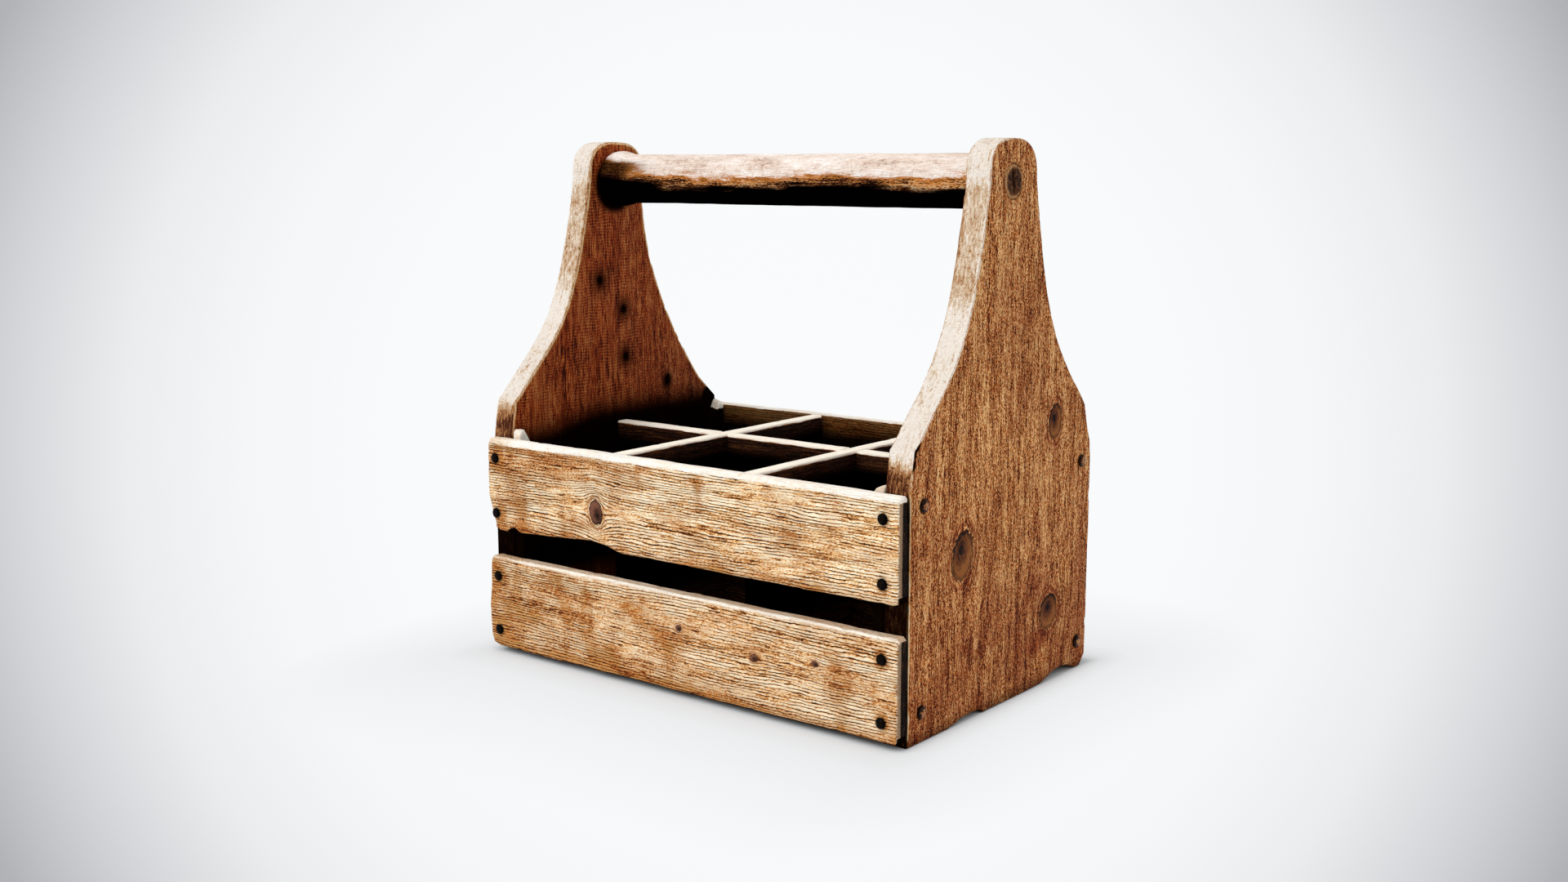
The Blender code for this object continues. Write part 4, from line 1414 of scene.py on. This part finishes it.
@dataclass
class Handle:
    """The turned bar between the panels, swollen at its left end, with a tenon at each end."""

    collar_swell: float = 2.6 * MM
    collar_length: float = 11 * MM
    collar_taper: float = 9 * MM
    end_round: float = 1.8 * MM
    tenon_radius: float = 11.8 * MM
    dent: float = 0.5
    split_depth: float = 3
    sides: int = 64
    cell: float = 0.9 * MM
    stretch: float = 3.0

    def profile(self, grip: float, tenon: float, radius: float) -> list[tuple[float, float]]:
        """Draw half of the bar's section, from its left to its right end.

        Args:
            grip: Half of the bar's length between the panels.
            tenon: Half of its whole length.
            radius: Its radius away from the swollen end.

        Returns:
            The section's points as (place along the bar, radius).
        """
        collar = radius + self.collar_swell
        swell = -grip + self.collar_length
        return [
            (-tenon, 0),
            (-tenon, self.tenon_radius),
            (-grip, self.tenon_radius),
            (-grip, collar - self.end_round),
            (-grip + self.end_round, collar),
            (swell, collar),
            (swell + self.collar_taper / 2, radius + self.collar_swell / 3),
            (swell + self.collar_taper, radius),
            (grip - self.end_round, radius),
            (grip, radius - self.end_round),
            (grip, self.tenon_radius),
            (tenon, self.tenon_radius),
            (tenon, 0),
        ]

    def build(self) -> None:
        """Turn the bar, dent it, split its ends and dress it."""
        low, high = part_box("handle")
        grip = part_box("end_panel_right")[0].x - TOUCH_GAP
        radius = (high.z - low.z) / 2 - self.collar_swell
        profile = [(x / self.stretch, 0, r) for x, r in self.profile(grip, high.x, radius)]
        mesh = resampled(turned(profile, (1, 0, 0), self.sides), self.cell, self.stretch)
        co = points_of(mesh) / MM
        grip, tenon, radius, core = (v / MM for v in (grip, high.x, radius, self.tenon_radius))
        out = np.hypot(co[:, 1], co[:, 2])
        turn = np.arctan2(co[:, 1], co[:, 2])
        relief = even_noise(np.stack((co[:, 0] / 34, turn * 5.5, 0 * turn), 1), 5)
        relief = ease(relief, 0.3, 0.7)
        dents = even_noise(co / 19, 6)
        sink = ease(out, radius - 4, radius - 1) * self.dent * (0.8 * dents + 0.5 * (1 - relief))
        co[:, 1:] *= (1 - sink / np.maximum(out, 1))[:, None]
        x, y, z = co.T
        up = z / radius + 0.3 * (dents - 0.5) + 0.25 * (relief - 0.5)
        end = np.abs(x) > grip + 2 * TOUCH_GAP / MM
        split = ease(np.abs(y + 0.15 * z), 2.2, 0.6) * ease(np.abs(z), 9, 6)
        tip = end * (tenon - np.abs(x) < 0.5)
        ring = ease(out, core - 4, core)
        x -= np.sign(x) * tip * split * self.split_depth
        z += (low.z + high.z) / 2 / MM
        move_points(mesh, co * MM)
        patch = even_noise(co / (30, 9, 9), 8)
        worn = ease(x + grip, 70, 14) * ease(patch, 0.1, 0.5) * ease(up, 1.1, 0.55)
        marks = {
            "relief": relief,
            "run": np.where(end, turn * radius, x),
            "rim": end,
            # By height round the bar: pale on top, bleached and partly painted light.
            "pale": ease(up, -0.3, 0.66) * (1 - end) * (1 - 0.75 * worn),
            "bleach": np.where(end, 0.42 + 0.8 * ring, 0.2 - 0.4 * worn + 0.8 * patch),
            # Painted shade: stained darker below the middle of the bar; worn patches hold real stain.
            "stain": (0.1 + 0.9 * worn + 0.35 * ease(up, 0.0, -0.3)) * (1 - end),
            # Painted shade: black underneath the bar; worn patches hold real dirt and the tenon ends
            # a dark split.
            "dirt_and_shade": np.where(end, split, ease(up, 0.08, -0.46) + 0.65 * worn),
        }
        give_marks(mesh, marks)
        material = BLEACHED_DOWEL.dress("handle", Grain.LENGTHWISE, (), 2)
        stand_in("handle", mesh, material, "caddy")


@dataclass
class Nails:
    """The twenty-four driven nails, with domed and hammered heads."""

    shank_radius: float = 1.2 * MM
    shank_length: float = 4 * MM
    dome_shares: tuple = (
        *((0.96, 0.0), (1.0, 0.225), (0.95, 0.45), (0.78, 0.72)),
        *((0.5, 0.92), (0.2, 1.0), (0.0, 1.0)),
    )
    sides: int = 20
    blow_cell: float = 2.4 * MM
    slat_rise: float = 1.9 * MM
    end_rise: float = 2.5 * MM
    black: Iron = Iron("blackened_iron", ("000000", "040201", "140C08"), 0.45, 0.1, 0.03)
    brown: Iron = Iron("rusted_iron", ("060201", "2E1206", "CC8850"), 0.38, 0.35, 0.15)

    def head(self, radius: float, rise: float, seed: int) -> Mesh:
        """Turn a nail's head and the top of its shank, and knock the head about a little.

        Args:
            radius: The head's radius.
            rise: How far it stands up from the wood.
            seed: Which blows it got.

        Returns:
            The mesh along +Z, with the wood's face at zero.
        """
        foot = -self.shank_length
        profile = [(0, 0, foot), (self.shank_radius, 0, foot), (self.shank_radius, 0, TOUCH_GAP)]
        profile += [(r * radius, 0, TOUCH_GAP + h * rise) for r, h in self.dome_shares]
        mesh = to_mesh(turned(profile, (0, 0, 1), self.sides), "head")
        co = points_of(mesh)
        z = co[:, 2]
        blow = even_noise(co / self.blow_cell, seed, 2) * (z > 1.5 * TOUCH_GAP)
        co[:, :2] *= (1 - 0.12 * blow)[:, None]
        z -= 0.35 * blow * (z - TOUCH_GAP)
        move_points(mesh, co)
        # The crown mark holds the painted highlight on the top of the dome.
        give_marks(mesh, {"crown": ease(z, 0.5 * rise, 0.95 * rise)})
        return mesh

    def build(self) -> None:
        """Make every nail where its solid is."""
        black, brown = self.black.dress(), self.brown.dress()
        names = sorted(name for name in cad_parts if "_nail_" in name)
        for seed, name in enumerate(names):
            low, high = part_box(name)
            if name.startswith("slat"):
                depth, sign = 1, -1 if "front" in name else 1
                material, slot, rise = black, "black_iron", self.slat_rise
            else:
                depth, sign = 0, -1 if "left" in name else 1
                material, slot, rise = brown, "brown_iron", self.end_rise
            face = (low + high) / 2
            face[depth] = (high if sign > 0 else low)[depth] - sign * (rise + TOUCH_GAP)
            outward = Vector((0, 0, 0))
            outward[depth] = sign
            turn = outward.to_track_quat("Z", "Y").to_matrix().to_4x4()
            turn.translation = face
            mesh = self.head((high.z - low.z) / 2, rise, seed)
            mesh.transform(turn)
            stand_in(name, mesh, material, "caddy")


@dataclass
class Studio:
    """The plain studio: pale floor, soft light and the camera."""

    eye: tuple[float, float, float] = (0.7638, -0.9794, 0.3729)
    tilt: float = 80.56
    turn: float = 38.06
    lens: float = 38.34
    sensor: float = 36.0
    far: float = 200.0
    floor_radius: float = 60.0
    floor_sides: int = 96
    footprint: tuple[float, float] = (0.191, 0.129)
    spread: tuple[float, float] = (1.7, 1.0)
    shade_reach: float = 0.2
    shade_places: tuple = (0.0, 0.075, 0.2, 0.45, 1.0)
    shade_tones: tuple = ("DEDEDE", "EAE9E9", "F3F2F2", "F8F7F7", "FFFFFF")
    shadow_reach: float = 0.009
    sky_strength: float = 1.0
    sun_strength: float = 1.45
    sun_angle: float = 40.0
    sun_from: tuple[float, float, float] = (-0.3, -0.7, 0.72)
    fall_places: tuple = (0.0, 0.55, 0.8816, 0.8911, 0.9061, 0.9297, 0.9517, 0.9756, 1.0)
    fall_tones: tuple = (
        *("D2D3D6", "CBCCD0", "B0B1B5", "BFC0C4", "D2D4D7"),
        *("EAECED", "F4F6F8", "F8FAFB", "FAFBFC"),
    )

    def backdrop(self, tree: NodeTree, direction: object) -> Node:
        """The backdrop's tone by its direction from the camera: nearly white, greyer outwards.

        Args:
            tree: The node tree.
            direction: A node or socket with the direction.

        Returns:
            The ramp node.
        """
        tilt, turn = math.radians(self.tilt), math.radians(self.turn)
        level = math.sin(tilt)
        axis = (-level * math.sin(turn), level * math.cos(turn), -math.cos(tilt))
        straight = add(tree, "VectorMath", (direction,), operation="NORMALIZE")
        share = add(tree, "VectorMath", (straight, axis), operation="DOT_PRODUCT")
        return add(tree, "ValToRGB", (share,), stops=(self.fall_places, self.fall_tones))

    def seen(self, tree: NodeTree) -> Node:
        """Tell the camera's own rays, and those that metal or glass sends on, from all others.

        Args:
            tree: The node tree.

        Returns:
            A node that gives one for them, else zero.
        """
        rays = add(tree, "LightPath").outputs
        both = (rays["Is Camera Ray"], rays["Is Glossy Ray"])
        both = add(tree, "Math", both, operation="MAXIMUM")
        return add(tree, "Math", (both, rays["Is Transmission Ray"]), operation="MAXIMUM")

    def floor(self) -> None:
        """Lay a wide floor that looks as pale as the backdrop but for painted shade near the caddy,
        and keeps the caddy's shadow.
        """
        bm = bmesh.new()
        rim = {"segments": self.floor_sides, "radius": self.floor_radius}
        bmesh.ops.create_circle(bm, cap_ends=True, **rim)
        item = placed("studio_floor", to_mesh(bm, "floor"))
        material, tree, place = new_material("painted_floor")
        direction = add(tree, "VectorMath", (place, self.eye), operation="SUBTRACT")
        colour = self.backdrop(tree, direction)
        apart = add(tree, "SeparateXYZ", (place,)).outputs
        offs = []
        for axis, (half, spread) in enumerate(zip(self.footprint, self.spread)):
            off = add(tree, "Math", (apart[axis],), operation="ABSOLUTE")
            for operation, value in (("SUBTRACT", half), ("MULTIPLY", spread), ("MAXIMUM", 0.0)):
                off = add(tree, "Math", (off, value), operation=operation)
            offs.append(off)
        gap = add(tree, "CombineXYZ", tuple(offs))
        gap = add(tree, "VectorMath", (gap,), operation="LENGTH")
        # Painted shade: the floor's colour greys towards the caddy's footprint.
        reach = add(tree, "MapRange", (gap, 0.0, self.shade_reach))
        shade = add(tree, "ValToRGB", (reach,), stops=(self.shade_places, self.shade_tones))
        colour = add(tree, "Mix", {0: 1.0, 6: colour, 7: shade}, **DARKENED)
        share = add(tree, "Math", (gap, -1 / self.shadow_reach), operation="MULTIPLY")
        share = add(tree, "Math", (share,), operation="EXPONENT")
        share = add(tree, "Math", (1.0, share), operation="SUBTRACT")
        share = add(tree, "Math", (share, self.seen(tree)), operation="MULTIPLY")
        lit = add(tree, "BsdfDiffuse", {"Color": colour})
        mixed = add(tree, "MixShader", (share, lit, add(tree, "Emission", {"Color": colour})))
        tree.nodes.remove(tree.nodes["Principled BSDF"])
        join(tree, tree.nodes["Material Output"], (mixed,))
        item.data.materials.append(material)

    def light(self) -> None:
        """Set an even sky and one broad soft lamp from the upper left front."""
        world = bpy.data.worlds.new("studio")
        bpy.context.scene.world = world
        world.use_nodes = True
        tree = world.node_tree
        tree.nodes.clear()
        direction = add(tree, "TexCoord").outputs["Generated"]
        shown = add(tree, "Background", {"Color": self.backdrop(tree, direction)})
        even = add(tree, "Background", {"Color": (1, 1, 1, 1), "Strength": self.sky_strength})
        add(tree, "OutputWorld", (add(tree, "MixShader", (self.seen(tree), even, shown)),))
        lamp = bpy.data.lights.new("key", "SUN")
        lamp.energy = self.sun_strength
        lamp.angle = math.radians(self.sun_angle)
        item = placed("key", lamp)
        item.rotation_euler = Vector(self.sun_from).to_track_quat("Z", "Y").to_euler()

    def camera(self) -> None:
        """Stand the camera where the photograph was taken from."""
        lens = bpy.data.cameras.new("camera")
        lens.lens = self.lens
        lens.sensor_width = self.sensor
        lens.clip_end = self.far
        item = placed("camera", lens)
        item.location = self.eye
        item.rotation_euler = (math.radians(self.tilt), 0, math.radians(self.turn))
        bpy.context.scene.camera = item

    def build(self) -> None:
        """Set up floor, light and camera."""
        self.floor()
        self.light()
        self.camera()
        bpy.context.scene.view_settings.view_transform = "Standard"


def main() -> None:
    """Build every sub-assembly in order, then the studio."""
    logging.basicConfig(level=logging.INFO, format="%(name)s %(message)s")
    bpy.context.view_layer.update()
    for kind in (EndPanels, Slats, DividerGrid, CornerPosts, BottomBoard, Handle, Nails):
        log.info("building %s", kind.__name__)
        kind().build()
    Studio().build()


if __name__ == "__main__":
    main()
